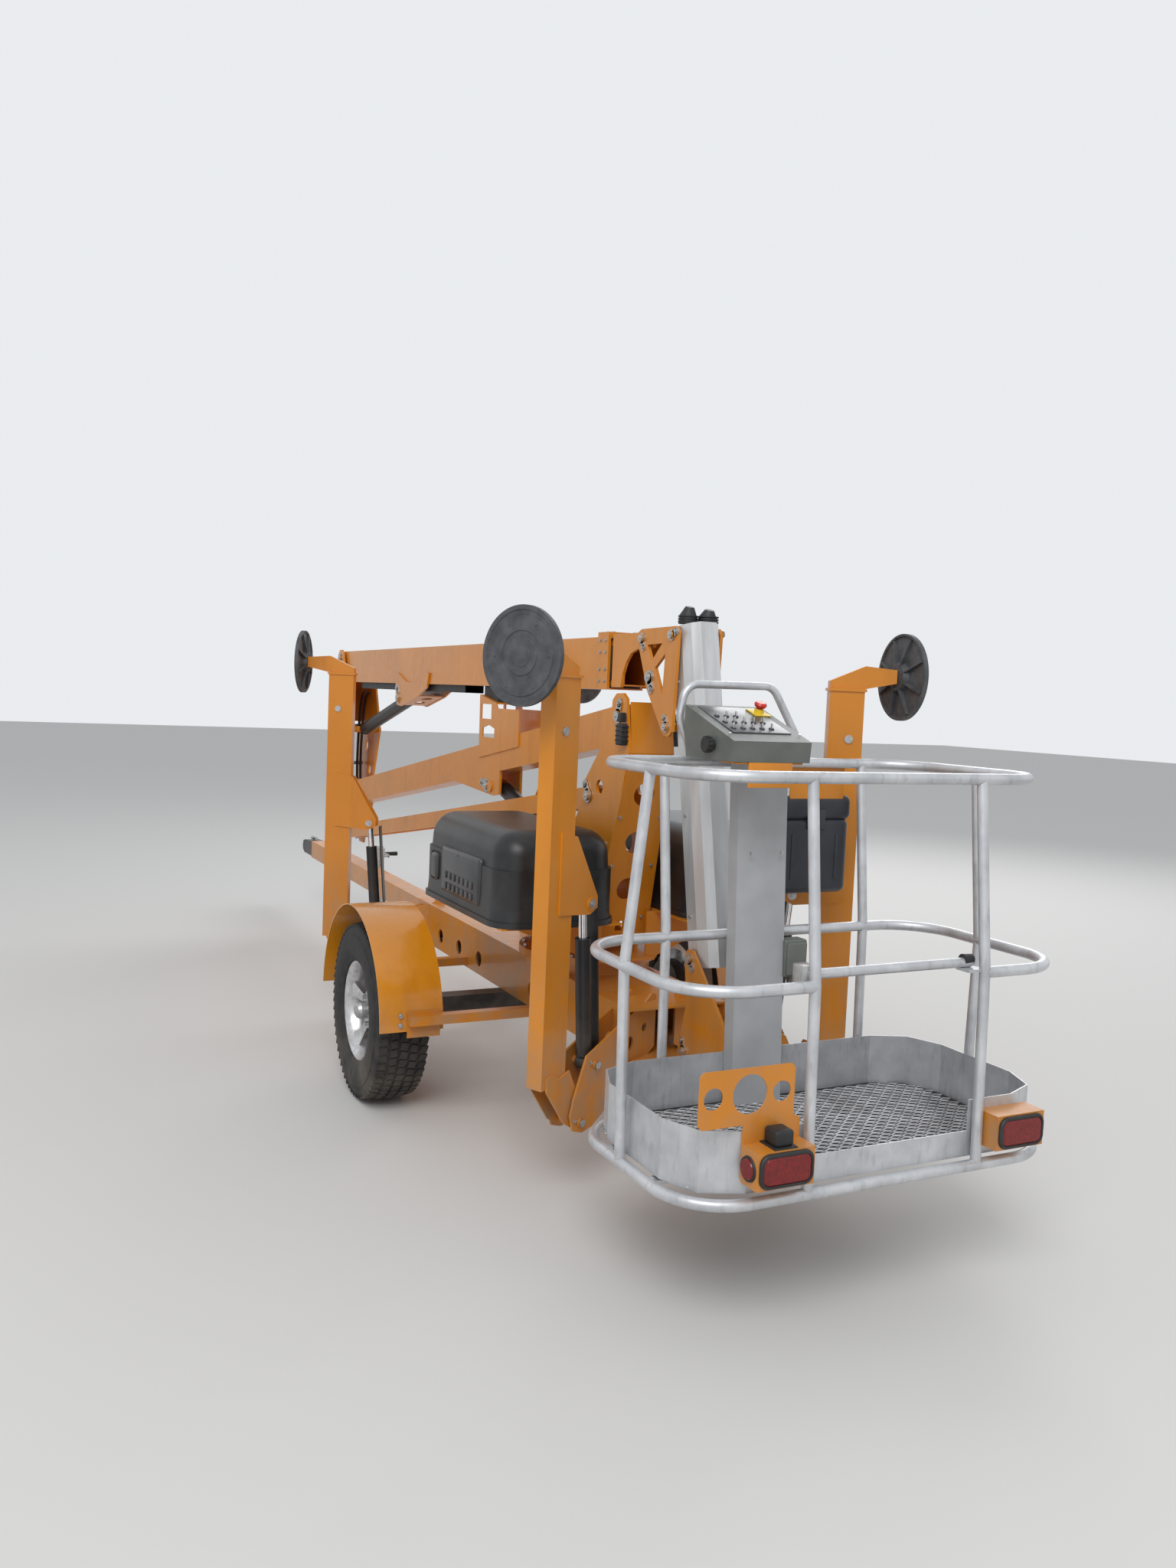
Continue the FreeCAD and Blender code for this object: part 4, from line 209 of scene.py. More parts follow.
def enamel(name, colour, roughness, coat, dust_top):
    """Sprayed gloss paint in the given colour."""
    finish, tree, shader, where = new_finish(name, roughness)
    deep = tuple(c * 0.86 for c in colour)
    pale = tuple(min(1.0, c * 1.07 + 0.004) for c in colour)
    tone = ramp(tree, grain(tree, where, 2.2, 5.0), (0.3, deep), (0.7, pale))
    streaks = grain(tree, where, 14.0, 6.0, (1.0, 1.0, 0.12))
    grime = ramp(tree, streaks, (0.55, (1.0, 1.0, 1.0)), (0.8, (0.86, 0.82, 0.76)))
    tone = blended(tree, 1.0, tone, grime, "MULTIPLY")
    dust = road_dust(tree, where, 0.15, dust_top)
    tone = blended(tree, dust, tone, (0.30, 0.24, 0.17))
    tree.links.new(tone, shader.inputs["Base Color"])
    sheen = tree.nodes.new("ShaderNodeMapRange")
    sheen.inputs["To Min"].default_value = roughness - 0.06
    sheen.inputs["To Max"].default_value = roughness + 0.22
    tree.links.new(grain(tree, where, 26.0, 8.0), sheen.inputs["Value"])
    tree.links.new(sheen.outputs["Result"], shader.inputs["Roughness"])
    shader.inputs["Coat Weight"].default_value = coat
    shader.inputs["Coat Roughness"].default_value = 0.12
    relief(tree, shader, grain(tree, where, 190.0, 2.0), 0.0004, 0.5)
    return finish


def dress(finish, *names):
    """Gives CAD nodes their finish."""
    for name in names:
        nodes[name].data.materials.clear()
        nodes[name].data.materials.append(finish)


lift_orange = (0.68, 0.236, 0.005)
lift_paint = enamel("lift_paint", lift_orange, 0.34, 0.35, 0.9)
corner_names = ("rear_left", "rear_right", "front_left", "front_right")
dress(lift_paint, "frame", "turntable", "tower", "riser_arm", "riser_link", "boom_cradle", "upright",
      "boom_outer", "boom_saddle", "boom_inner", "knuckle", "platform_bracket", "plate_holder",
      *(f"outrigger_leg_{corner}" for corner in corner_names))

# Fenders
# Each is one rolled sheet with folded edges, sprayed glossier than the frame, and bolted at its ends to the
# frame's cross tubes with four bolts.
fender_gloss = enamel("fender_gloss", (0.70, 0.260, 0.006), 0.22, 0.8, 0.55)
dress(fender_gloss, "fender_left", "fender_right")


def shaft(form, start, end, radius, sides=24, tip=None):
    """A round bar between two points, thinner at its end where a tip radius is given."""
    start, end = Vector(start), Vector(end)
    way = end - start
    turn = way.to_track_quat("Z", "Y").to_matrix().to_4x4()
    bmesh.ops.create_cone(form, cap_ends=True, cap_tris=False, segments=sides, radius1=radius,
                          radius2=radius if tip is None else tip, depth=way.length,
                          matrix=Matrix.Translation((start + end) / 2) @ turn)


def slab(form, place, size):
    """A square-edged block of a size, moved and turned to its place; returns its corners."""
    made = bmesh.ops.create_cube(form, size=1, matrix=place @ Matrix.Diagonal((*size, 1)))
    return made["verts"]


def soften(form, edges, width, steps):
    """Rounds edges off."""
    return bmesh.ops.bevel(form, geom=edges, offset=width, offset_type="OFFSET", segments=steps, profile=0.5,
                           affect="EDGES", material=-1)


def block(form, low, high, edge, steps=2):
    """A block between two corners with rounded edges."""
    low, high = Vector(low), Vector(high)
    verts = slab(form, Matrix.Translation((low + high) / 2), high - low)
    soften(form, list({e for v in verts for e in v.link_edges}), edge, steps)


def hex_bolt(form, place, way, size=0.009):
    """A hexagon bolt head on its washer, standing on a surface that faces the given way."""
    place, way = Vector(place), Vector(way).normalized()
    shaft(form, place, place + way * size * 0.22, size * 1.25, 16)
    shaft(form, place + way * size * 0.2, place + way * size * 0.9, size * 0.9, 6, size * 0.82)


def settle(name, form, body, finish, round_below=35, stands_for=()):
    """Turns a shaped form into a piece that rides on a body."""
    mesh = bpy.data.meshes.new(name)
    form.to_mesh(mesh)
    form.free()
    mesh.polygons.foreach_set("use_smooth", [True] * len(mesh.polygons))
    mesh.set_sharp_from_angle(angle=math.radians(round_below))
    piece = bpy.data.objects.new(name, mesh)
    scene.collection.objects.link(piece)
    mesh.materials.append(finish)
    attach(piece, body)
    if stands_for:
        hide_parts(*stands_for)


def mottled(name, roughness, metallic, pattern, dark, pale, surface=None):
    """A finish whose tone wanders between two colours, over a fine relief.

    The pattern is a scale and a detail, dark and pale are a place and a colour each, and the surface is a
    scale, a detail, a depth in metres and a strength.
    """
    finish, tree, shader, where = new_finish(name, roughness, metallic)
    tree.links.new(ramp(tree, grain(tree, where, *pattern), dark, pale), shader.inputs["Base Color"])
    if surface:
        scale, detail, depth, strength = surface
        relief(tree, shader, grain(tree, where, scale, detail), depth, strength)
    return finish


zinc = mottled("zinc_plate", 0.38, 0.9, (60.0, 5.0), (0.3, (0.42, 0.42, 0.4125)), (0.7, (0.56, 0.56, 0.55)),
               (320.0, 3.0, 0.0002, 0.5))
dress(zinc, "jack")
bolt_steps, bolt_rises = (0.05, 0.17), (0.025, 0.062)
fender_bolts = bmesh.new()
for side in ("left", "right"):
    low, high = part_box(f"fender_{side}")
    inner = high.x if side == "left" else low.x
    for y, way in ((low.y, -1), (high.y, 1)):
        for step in bolt_steps:
            for rise in bolt_rises:
                x = inner - step if side == "left" else inner + step
                hex_bolt(fender_bolts, (x, y + way * 0.001, low.z + rise), (0, way, 0), 0.008)
settle("fender_bolts", fender_bolts, "chassis", zinc)

# Axle and running gear
# A square black axle tube with brake drums carries two cast alloy wheels with radial trailer tyres. The
# tyre has five rows of tread blocks between grooves and moulded rings on its side. The wheel has a bright
# lip, five ridged spokes with open windows, five nuts and a cap over the bearing.
axle_black, tree, shader, where = new_finish("chassis_black", 0.42)
tone = blended(tree, road_dust(tree, where, 0.1, 0.8), (0.012, 0.012, 0.013), (0.17, 0.14, 0.11))
tree.links.new(tone, shader.inputs["Base Color"])
relief(tree, shader, grain(tree, where, 150.0, 3.0), 0.0004, 0.5)
dress(axle_black, "axle", "coupler", "riser_cylinder", "boom_cylinder",
      *(f"outrigger_cylinder_{corner}" for corner in corner_names))

tyre_rubber, tree, shader, where = new_finish("tyre_rubber", 0.78)
worn = ramp(tree, grain(tree, where, 30.0, 6.0), (0.3, (0.014, 0.014, 0.015)), (0.75, (0.034, 0.032, 0.030)))
dusty = blended(tree, road_dust(tree, where, -0.05, 0.35), worn, (0.20, 0.165, 0.125))
tree.links.new(dusty, shader.inputs["Base Color"])
relief(tree, shader, grain(tree, where, 420.0, 3.0), 0.0005, 0.6)

tyre_profile = (
    # across the tyre from its middle, radius
    (-0.070, 0.197), (-0.096, 0.203), (-0.109, 0.232), (-0.1125, 0.262), (-0.1120, 0.282), (-0.1085, 0.302),
    (-0.1080, 0.306), (-0.1040, 0.309), (-0.1010, 0.330), (-0.094, 0.345), (-0.080, 0.3505), (-0.040, 0.3525),
    (0.0, 0.353), (0.040, 0.3525), (0.080, 0.3505), (0.094, 0.345), (0.1010, 0.330), (0.1040, 0.309),
    (0.1080, 0.306), (0.1085, 0.302), (0.1120, 0.282), (0.1125, 0.262), (0.109, 0.232), (0.096, 0.203),
    (0.070, 0.197),
)
tread_rows = (
    # middle of the row, half width, blocks round the tyre, share of the pitch that rubber fills, start in
    # pitches
    (-0.082, 0.017, 60, 0.72, 0.0), (-0.040, 0.014, 60, 0.80, 0.3), (0.0, 0.015, 60, 0.88, 0.6),
    (0.040, 0.014, 60, 0.80, 0.9), (0.082, 0.017, 60, 0.72, 0.2),
)
tread_foot, block_middle, shoulder = 0.345, 0.355, 0.06
centre_top, shoulder_top, shoulder_drop = 0.3595, 0.3565, 0.007
block_slant = 0.22


def turned(form, hub, profile, out, steps):
    """Turns a profile of outward places and radii round the axle."""
    ring = [form.verts.new((hub.x + out * x, hub.y, hub.z + r)) for x, r in profile]
    ring_edges = [form.edges.new(pair) for pair in zip(ring, ring[1:])]
    bmesh.ops.spin(form, geom=ring + ring_edges, cent=hub, axis=(1, 0, 0), angle=math.tau, steps=steps,
                   use_merge=True)


for side in ("left", "right"):
    low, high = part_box(f"tyre_{side}")
    hub = (low + high) / 2
    tyre = bmesh.new()
    turned(tyre, hub, tyre_profile, 1, 96)
    bmesh.ops.remove_doubles(tyre, verts=tyre.verts, dist=0.0002)
    bmesh.ops.recalc_face_normals(tyre, faces=tyre.faces)
    for middle, half, count, share, offset in tread_rows:
        for i in range(count):
            angle = math.tau * (i + offset) / count
            length = math.tau * block_middle / count * share / 2
            top = centre_top if abs(middle) < shoulder else shoulder_top
            verts = slab(tyre, Matrix.Translation(hub) @ Matrix.Rotation(angle, 4, "X")
                         @ Matrix.Translation((middle, 0, (tread_foot + top) / 2))
                         @ Matrix.Rotation(block_slant if middle < 0 else -block_slant, 4, "Z"),
                         (2 * half, 2 * length, top - tread_foot))
            if abs(middle) > shoulder:
                for v in verts:
                    if abs(v.co.x - hub.x) > 0.09:
                        away = v.co - hub
                        away.x = 0
                        v.co -= away.normalized() * shoulder_drop
    settle(f"tyre_{side}_tread", tyre, f"wheel_{side}", tyre_rubber, 30, (f"tyre_{side}",))

alloy, tree, shader, where = new_finish("wheel_alloy", 0.3, 0.85)
tone = ramp(tree, grain(tree, where, 45.0, 6.0), (0.3, (0.52, 0.52, 0.53)), (0.7, (0.74, 0.74, 0.75)))
tone = blended(tree, road_dust(tree, where, 0.0, 0.6), tone, (0.30, 0.26, 0.21))
tree.links.new(tone, shader.inputs["Base Color"])
relief(tree, shader, grain(tree, where, 260.0, 2.0), 0.0002, 0.5)
barrel_profile = (
    # outward from the tyre's middle, radius
    (-0.0825, 0.168), (-0.0825, 0.1955), (-0.058, 0.1955), (-0.020, 0.172), (0.020, 0.172),
    (0.058, 0.1955), (0.0830, 0.1960), (0.0835, 0.2030), (0.0880, 0.2045), (0.0905, 0.2000),
    (0.0870, 0.1900), (0.0720, 0.1760), (0.0300, 0.1660), (-0.0500, 0.1660), (-0.0825, 0.168),
)
hub_profile = (
    (-0.0855, 0.034), (-0.0855, 0.055), (0.008, 0.055), (0.020, 0.076), (0.036, 0.082), (0.043, 0.077),
    (0.042, 0.036),
)
spoke_sections = (
    # distance from the axle, half width, outward place of the ridge, thickness
    (0.062, 0.031, 0.043, 0.020), (0.100, 0.019, 0.046, 0.018), (0.146, 0.025, 0.056, 0.018),
    (0.174, 0.042, 0.071, 0.018),
)
cap_rows = (
    # outward start and end, radius at each
    (0.030, 0.080, 0.036, 0.035), (0.080, 0.093, 0.035, 0.030), (0.093, 0.100, 0.030, 0.018),
)
spoke_count, spoke_start, ridge_tall = 5, 0.25, 0.005
nut_circle, nut_from, nut_tall = 0.057, 0.042, 0.018
for side, out in (("left", -1), ("right", 1)):
    low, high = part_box(f"tyre_{side}")
    hub = (low + high) / 2
    wheel = bmesh.new()
    for profile in (barrel_profile, hub_profile):
        turned(wheel, hub, profile, out, 72)
    bmesh.ops.remove_doubles(wheel, verts=wheel.verts, dist=0.0002)
    nuts = bmesh.new()
    for i in range(spoke_count):
        angle = math.tau * i / spoke_count + spoke_start
        radial = Vector((0, math.cos(angle), math.sin(angle)))
        beside = Vector((0, -math.sin(angle), math.cos(angle)))
        cut = wheel.faces.new([wheel.verts.new(hub) for corner in range(5)])
        for number, (away, half, ridge, thick) in enumerate(spoke_sections):
            if number:
                cut = bmesh.ops.extrude_discrete_faces(wheel, faces=[cut])["faces"][0]
            outline = ((-half, ridge - ridge_tall), (0, ridge), (half, ridge - ridge_tall),
                       (half * 0.8, ridge - thick), (-half * 0.8, ridge - thick))
            for v, (step, depth) in zip(cut.verts, outline):
                v.co = hub + radial * away + beside * step + Vector((out * depth, 0, 0))
        angle += math.pi / spoke_count
        spot = hub + Vector((out * nut_from, nut_circle * math.cos(angle), nut_circle * math.sin(angle)))
        shaft(nuts, spot, spot + Vector((out * nut_tall, 0, 0)), 0.0095, 6, 0.0085)
    bmesh.ops.recalc_face_normals(wheel, faces=wheel.faces)
    settle(f"wheel_{side}_casting", wheel, f"wheel_{side}", alloy, 30, (f"rim_{side}",))
    for start, end, wide, narrow in cap_rows:
        shaft(nuts, hub + Vector((out * start, 0, 0)), hub + Vector((out * end, 0, 0)), wide, 36, narrow)
    settle(f"wheel_nuts_{side}", nuts, f"wheel_{side}", zinc)

# Outriggers
# Four folding legs stand upright at the frame's corners. Each has a cast pad on a swivel, with rings on its
# sole and ribs behind, a chrome rod, and pins held by zinc ends and bolts.
cast_grey, tree, shader, where = new_finish("cast_pad", 0.62, 0.35)
tone = ramp(tree, grain(tree, where, 24.0, 7.0), (0.3, (0.062, 0.065, 0.072)), (0.7, (0.115, 0.118, 0.125)))
rub = ramp(tree, grain(tree, where, 7.0, 8.0), (0.55, (0.0, 0.0, 0.0)), (0.8, (0.5, 0.5, 0.5)))
tone = blended(tree, rub, tone, (0.19, 0.185, 0.18))
tree.links.new(tone, shader.inputs["Base Color"])
relief(tree, shader, grain(tree, where, 130.0, 5.0), 0.0012, 0.8)

chrome = mottled("chrome_rod", 0.08, 1.0, (40.0, 3.0), (0.3, (0.66, 0.66, 0.68)), (0.7, (0.80, 0.80, 0.82)),
                 (380.0, 2.0, 0.0001, 0.4))
dress(cast_grey, *(f"outrigger_pad_{corner}" for corner in corner_names))
dress(chrome, "riser_rod", "boom_rod", *(f"outrigger_rod_{corner}" for corner in corner_names))

axle_low, axle_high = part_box("axle")
axle_y = (axle_low.y + axle_high.y) / 2
leg_rows = (
    # corner, leg's place across and ahead of the axle, direction of its outward side and swing of its foot,
    # both in degrees
    ("rear_left", -0.554, -1.240, 207, 0), ("rear_right", 0.570, -1.240, -27, 18),
    ("front_left", -0.600, 1.284, 153, 0), ("front_right", 0.600, 1.284, 27, 0),
)
leg_pin_rows = (
    # outward place, height, face of the plate and length of two round ends: their radii
    (-0.130, 0.260, 0.0585, 0.004, 0.013), (-0.205, 0.440, 0.0585, 0.004, 0.013),
    (-0.160, 0.990, 0.041, 0.0025, 0.016), (0.012, 1.560, 0.031, 0.005, 0.015),
    (0.012, 1.560, 0.036, 0.002, 0.011),
)
leg_bolt_rows = (
    # outward place, height, face of the plate, size of the head
    (-0.102, 0.272, 0.049, 0.006), (-0.177, 0.452, 0.049, 0.006), (-0.160, 0.990, 0.0432, 0.008),
)
foot_out, foot_high, foot_face = 0.200, 1.788, 0.0055
rib_count, rib_size, rib_middle = 8, (0.026, 0.007, 0.108), (-0.017, 0, 0.088)
stud_count, stud_circle = 6, 0.108
for corner, x, y, degrees, swing in leg_rows:
    stand = Matrix.Translation((x, axle_y + y, 0)) @ Matrix.Rotation(math.radians(degrees), 4, "Z")
    pins = bmesh.new()
    for way in (-1, 1):
        for out, high, face, long, radius in leg_pin_rows:
            shaft(pins, (out, way * face, high), (out, way * (face + long), high), radius)
        for out, high, face, size in leg_bolt_rows:
            hex_bolt(pins, (out, way * face, high), (0, way, 0), size)
    bmesh.ops.transform(pins, matrix=stand, verts=pins.verts)
    settle(f"leg_pins_{corner}", pins, f"outrigger_{corner}", zinc)
    ribs = bmesh.new()
    for i in range(rib_count):
        turn = Matrix.Rotation(math.tau * (i + 0.5) / rib_count, 4, "X")
        for v in slab(ribs, turn @ Matrix.Translation(rib_middle), rib_size):
            if v.co.length > 0.12 and v.co.x < -0.025:
                v.co.x += 0.016
    shaft(ribs, (-0.028, 0, 0), (-0.008, 0, 0), 0.047, 32, 0.056)
    for i in range(stud_count):
        angle = math.tau * i / stud_count
        spot = Vector((foot_face, stud_circle * math.cos(angle), stud_circle * math.sin(angle)))
        shaft(ribs, spot, spot + Vector((0.003, 0, 0)), 0.006, 12, 0.004)
    shaft(ribs, (foot_face, 0, 0), (0.008, 0, 0), 0.036, 32, 0.034)
    foot = Matrix.Translation((foot_out, 0, foot_high)) @ Matrix.Rotation(math.radians(swing), 4, "Z")
    bmesh.ops.transform(ribs, matrix=stand @ foot, verts=ribs.verts)
    settle(f"pad_ribs_{corner}", ribs, f"outrigger_{corner}", cast_grey)
    pipes = bmesh.new()
    for y_side in (-0.014, 0.014):
        shaft(pipes, (-0.205, y_side, 0.470), (-0.205, y_side, 0.500), 0.011, 12)
        shaft(pipes, (-0.196, y_side, 0.500), (-0.184, y_side, 0.640), 0.007, 12)
    bmesh.ops.transform(pipes, matrix=stand, verts=pipes.verts)
    settle(f"ram_pipes_{corner}", pipes, f"leg_ram_{corner}", axle_black)

# Turntable covers
# Two moulded black covers hide the batteries and valves. Each is a domed tub with wide round corners, a thick
# rolled foot, a raised panel on its outer side with two rows of louvres, a grip recess and end screws.
cover_black, tree, shader, where = new_finish("cover_plastic", 0.36)
tone = ramp(tree, grain(tree, where, 5.0, 6.0), (0.35, (0.010, 0.0105, 0.0115)), (0.7, (0.021, 0.022, 0.024)))
haze = ramp(tree, grain(tree, where, 16.0, 8.0), (0.5, (0.0, 0.0, 0.0)), (0.85, (0.25, 0.25, 0.25)))
tree.links.new(blended(tree, haze, tone, (0.085, 0.08, 0.072)), shader.inputs["Base Color"])
relief(tree, shader, grain(tree, where, 700.0, 2.0), 0.0003, 0.6)
panel_grey = mottled("panel_plastic", 0.3, 0.0, (8.0, 6.0), (0.35, (0.032, 0.033, 0.035)),
                     (0.7, (0.058, 0.059, 0.062)), (600.0, 2.0, 0.0003, 0.6))
draft_x, draft_y, cover_wall, hollow_deep = 0.018, 0.022, 0.005, 0.20
foot_tall, foot_proud = 0.020, 0.006
louvre_rows, louvre_count, louvre_half = 2, 7, 0.013


def uprights(edges, over):
    """The edges that rise by more than a height."""
    return [e for e in edges if abs(e.verts[0].co.z - e.verts[1].co.z) > over]


for side, out in (("left", -1), ("right", 1)):
    low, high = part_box(f"cover_{side}")
    middle = (low + high) / 2
    shell = bmesh.new()
    for v in slab(shell, Matrix.Translation(middle), high - low):
        if v.co.z > high.z - 0.01:
            v.co.x += draft_x if v.co.x < middle.x else -draft_x
            v.co.y += draft_y if v.co.y < middle.y else -draft_y
    soften(shell, uprights(shell.edges, 0.1), 0.105, 10)
    soften(shell, [e for e in shell.edges if min(v.co.z for v in e.verts) > high.z - 0.002], 0.085, 8)
    under = [f for f in shell.faces if f.normal.z < -0.9]
    bmesh.ops.inset_region(shell, faces=under, thickness=cover_wall, use_even_offset=True)
    under = [f for f in shell.faces if f.normal.z < -0.9 and f.calc_area() > 0.1]
    moved = bmesh.ops.extrude_face_region(shell, geom=under)
    lifted = [v for v in moved["geom"] if isinstance(v, bmesh.types.BMVert)]
    bmesh.ops.translate(shell, verts=lifted, vec=(0, 0, hollow_deep))
    bmesh.ops.delete(shell, geom=under, context="FACES_ONLY")
    foot = slab(shell, Matrix.Translation((middle.x, middle.y, low.z + foot_tall / 2)),
                (high.x - low.x + 2 * foot_proud, high.y - low.y + 2 * foot_proud, foot_tall))
    soften(shell, uprights({e for v in foot for e in v.link_edges}, 0.01), 0.11, 10)
    settle(f"cover_shell_{side}", shell, "turret", cover_black, 40, (f"cover_{side}",))
    face = low.x if out < 0 else high.x
    panel = bmesh.new()
    near, far = sorted((face + out * 0.004, face - out * 0.030))
    block(panel, (near, middle.y - 0.230, low.z + 0.045), (far, middle.y + 0.175, high.z - 0.115), 0.014, 3)
    near, far = sorted((face + out * 0.002, face + out * 0.0085))
    for row in range(louvre_rows):
        z = low.z + 0.072 + row * 0.042
        for i in range(louvre_count):
            y = middle.y - 0.16 + i * 0.046
            block(panel, (near, y - louvre_half, z - louvre_half), (far, y + louvre_half, z + louvre_half),
                  0.003)
    settle(f"cover_panel_{side}", panel, "turret", panel_grey)
    grip = bmesh.new()
    near, far = sorted((face + out * 0.0055, face - out * 0.02))
    block(grip, (near, middle.y + 0.215, low.z + 0.075), (far, middle.y + 0.300, low.z + 0.185), 0.02, 4)
    block(grip, (near, middle.y - 0.02, high.z - 0.14), (far, middle.y + 0.02, high.z - 0.125), 0.005, 2)
    settle(f"cover_grip_{side}", grip, "turret", panel_grey)
    screws = bmesh.new()
    for y, way in ((low.y, -1), (high.y, 1)):
        for x in (low.x + 0.14, high.x - 0.14):
            for rise in (0.06, 0.18):
                hex_bolt(screws, (x, y + way * (0.001 - rise * 0.065), low.z + rise), (0, way, 0), 0.007)
    settle(f"cover_screws_{side}", screws, "turret", zinc)

# Pivot pins
# Every pivot of tower, riser, upright, boom and knuckle is a turned steel pin. A zinc plated keeper, an
# oblong strap with one bolt, holds its end, and a small grease nipple stands in the middle of the pin.
pin_rows = (
    # name, body, place ahead of the axle and height, outer face of the plate it comes through, pin radius,
    # direction of its keeper in degrees
    ("arm_rear_pin", "turret", -0.765, 1.605, 0.1055, 0.020, 100),
    ("link_rear_pin", "turret", -0.540, 1.290, 0.1055, 0.020, 60),
    ("lift_foot_pin", "turret", -0.420, 0.950, 0.1055, 0.020, 20),
    ("arm_front_pin", "upright", 3.0672, 0.998, 0.1035, 0.020, 200),
    ("link_front_pin", "upright", 3.2922, 0.683, 0.1035, 0.020, 150),
    ("boom_pivot_pin", "upright", 3.2852, 1.860, 0.1035, 0.020, 250),
    ("boom_ram_pin", "upright", 3.0002, 1.398, 0.1035, 0.020, 80),
    ("saddle_pin", "boom", 2.0102, 1.622, 0.0888, 0.024, 70),
    ("lift_eye_pin", "riser", 0.6395, 1.2306, 0.0640, 0.024, 10),
    ("knuckle_pin", "knuckle", -0.913, 1.889, 0.0975, 0.014, 255),
    ("jib_pin", "knuckle", -1.122, 1.895, 0.0975, 0.014, 160),
    ("level_pin", "knuckle", -0.976, 1.750, 0.0975, 0.018, 250),
    ("jib_link_pin", "knuckle", -1.109, 1.579, 0.0975, 0.014, 70),
    ("jib_foot_pin", "platform", -1.3319, 0.8152, 0.0935, 0.014, 240),
    ("jib_link_foot_pin", "platform", -1.3189, 0.4992, 0.0935, 0.014, 70),
)
strap_thick, strap_back = 0.0045, 0.0075
for name, body, y, z, face, radius, degrees in pin_rows:
    keeper = bmesh.new()
    angle = math.radians(degrees)
    lean = Vector((0, math.cos(angle), math.sin(angle)))
    for way in (-1, 1):
        middle = Vector((way * face, axle_y + y, z))
        outward = Vector((way, 0, 0))
        shaft(keeper, middle, middle + outward * 0.0055, radius * 0.93, 28)
        shaft(keeper, middle + outward * 0.0055, middle + outward * 0.0085, radius * 0.26, 12)
        eye = middle - outward * strap_back
        bolt = eye + lean * (radius * 2.5)
        for spot, size in ((bolt, radius * 0.85), (eye, radius * 1.42)):
            shaft(keeper, spot, spot + outward * strap_thick, size, 24)
        turn = Matrix((outward, lean.cross(outward), lean)).transposed().to_4x4()
        slab(keeper, Matrix.Translation((bolt + eye) / 2 + outward * strap_thick / 2) @ turn,
             (strap_thick, radius * 1.7, radius * 2.5))
        hex_bolt(keeper, bolt + outward * 0.004, outward, radius * 0.45)
    settle(name, keeper, body, zinc, 30)

# Tower fittings
# Each cheek of the tower carries a ribbed black limit switch beside the arm's pin. Zinc bolts hold the rear
# plate and the cheeks' feet, and a ring of them holds the turntable to its bearing.
trim_black = mottled("trim_rubber", 0.55, 0.0, (18.0, 6.0), (0.3, (0.012, 0.012, 0.013)),
                     (0.7, (0.028, 0.028, 0.029)), (350.0, 3.0, 0.0004, 0.6))
dress(trim_black, "boom_rest_pad", "hose_duct")
cheek_face = 0.0962
cheek_bolts = (
    # ahead of the axle, height
    (-0.300, 0.705), (-0.230, 0.705), (-0.560, 0.705), (-0.600, 0.760), (-0.640, 0.900), (-0.700, 1.120),
)
tower_kit = bmesh.new()
for way in (-1, 1):
    near, far = sorted((way * cheek_face, way * cheek_face + way * 0.030))
    block(tower_kit, (near, axle_y - 0.845, 1.500), (far, axle_y - 0.800, 1.580), 0.006, 3)
    block(tower_kit, (near, axle_y - 0.838, 1.585), (far - 0.006, axle_y - 0.812, 1.620), 0.004)
    for z in (1.515, 1.532, 1.549, 1.566):
        block(tower_kit, (near, axle_y - 0.849, z), (far + 0.002, axle_y - 0.796, z + 0.006), 0.002, 1)
    block(tower_kit, (near, axle_y - 0.470, 0.905), (far, axle_y - 0.400, 0.925), 0.004)
settle("tower_switch", tower_kit, "turret", trim_black)
tower_bolts = bmesh.new()
for way in (-1, 1):
    for y, z in cheek_bolts:
        hex_bolt(tower_bolts, (way * cheek_face, axle_y + y, z), (way, 0, 0), 0.009)
for x in (-0.085, 0.085):
    for z in (0.83, 1.04, 1.23):
        y = axle_y - 0.650 - (z - 0.740) / 0.734 * 0.208
        hex_bolt(tower_bolts, (x, y - 0.0005, z), (0, -0.962, -0.272), 0.006)
settle("tower_bolts", tower_bolts, "turret", zinc)
ring_bolts = bmesh.new()
ring_count, ring_circle, ring_middle = 18, 0.262, axle_y - 0.400
for i in range(ring_count):
    angle = math.tau * (i + 0.5) / ring_count
    x, y = ring_circle * math.cos(angle), ring_circle * math.sin(angle) + ring_middle
    if abs(x) > 0.15:
        hex_bolt(ring_bolts, (x, y, 0.6703), (0, 0, 1), 0.009)
settle("ring_bolts", ring_bolts, "turret", zinc)

# Booms
# The outer boom ends in a bolted collar with black wear pads round the inner boom. Weld beads run along the
# saddle and the collar, and hydraulic hoses come up inside the upright and turn back under the boom.
weld_paint = enamel("weld_paint", tuple(c * 0.93 for c in lift_orange), 0.40, 0.2, 0.3)
boom_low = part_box("boom_outer")[0]
boom_side, saddle_side, collar_end, bead = 0.0725, 0.0728, boom_low.y + 0.0905, 0.0028
saddle_line = (
    # ahead of the axle, height
    (1.520, 1.7675), (1.680, 1.7180), (1.800, 1.7090), (1.890, 1.7160), (2.030, 1.7610), (2.071, 1.7610),
)
beads = bmesh.new()
for way in (-1, 1):
    shaft(beads, (way * boom_side, collar_end, 1.7045), (way * boom_side, collar_end, 1.8995), bead, 8)
    line = [(way * saddle_side, axle_y + y, z) for y, z in saddle_line]
    for start, end in zip(line, line[1:]):
        shaft(beads, start, end, bead, 8)
settle("boom_welds", beads, "boom", weld_paint, 60)
collar_bolts = bmesh.new()
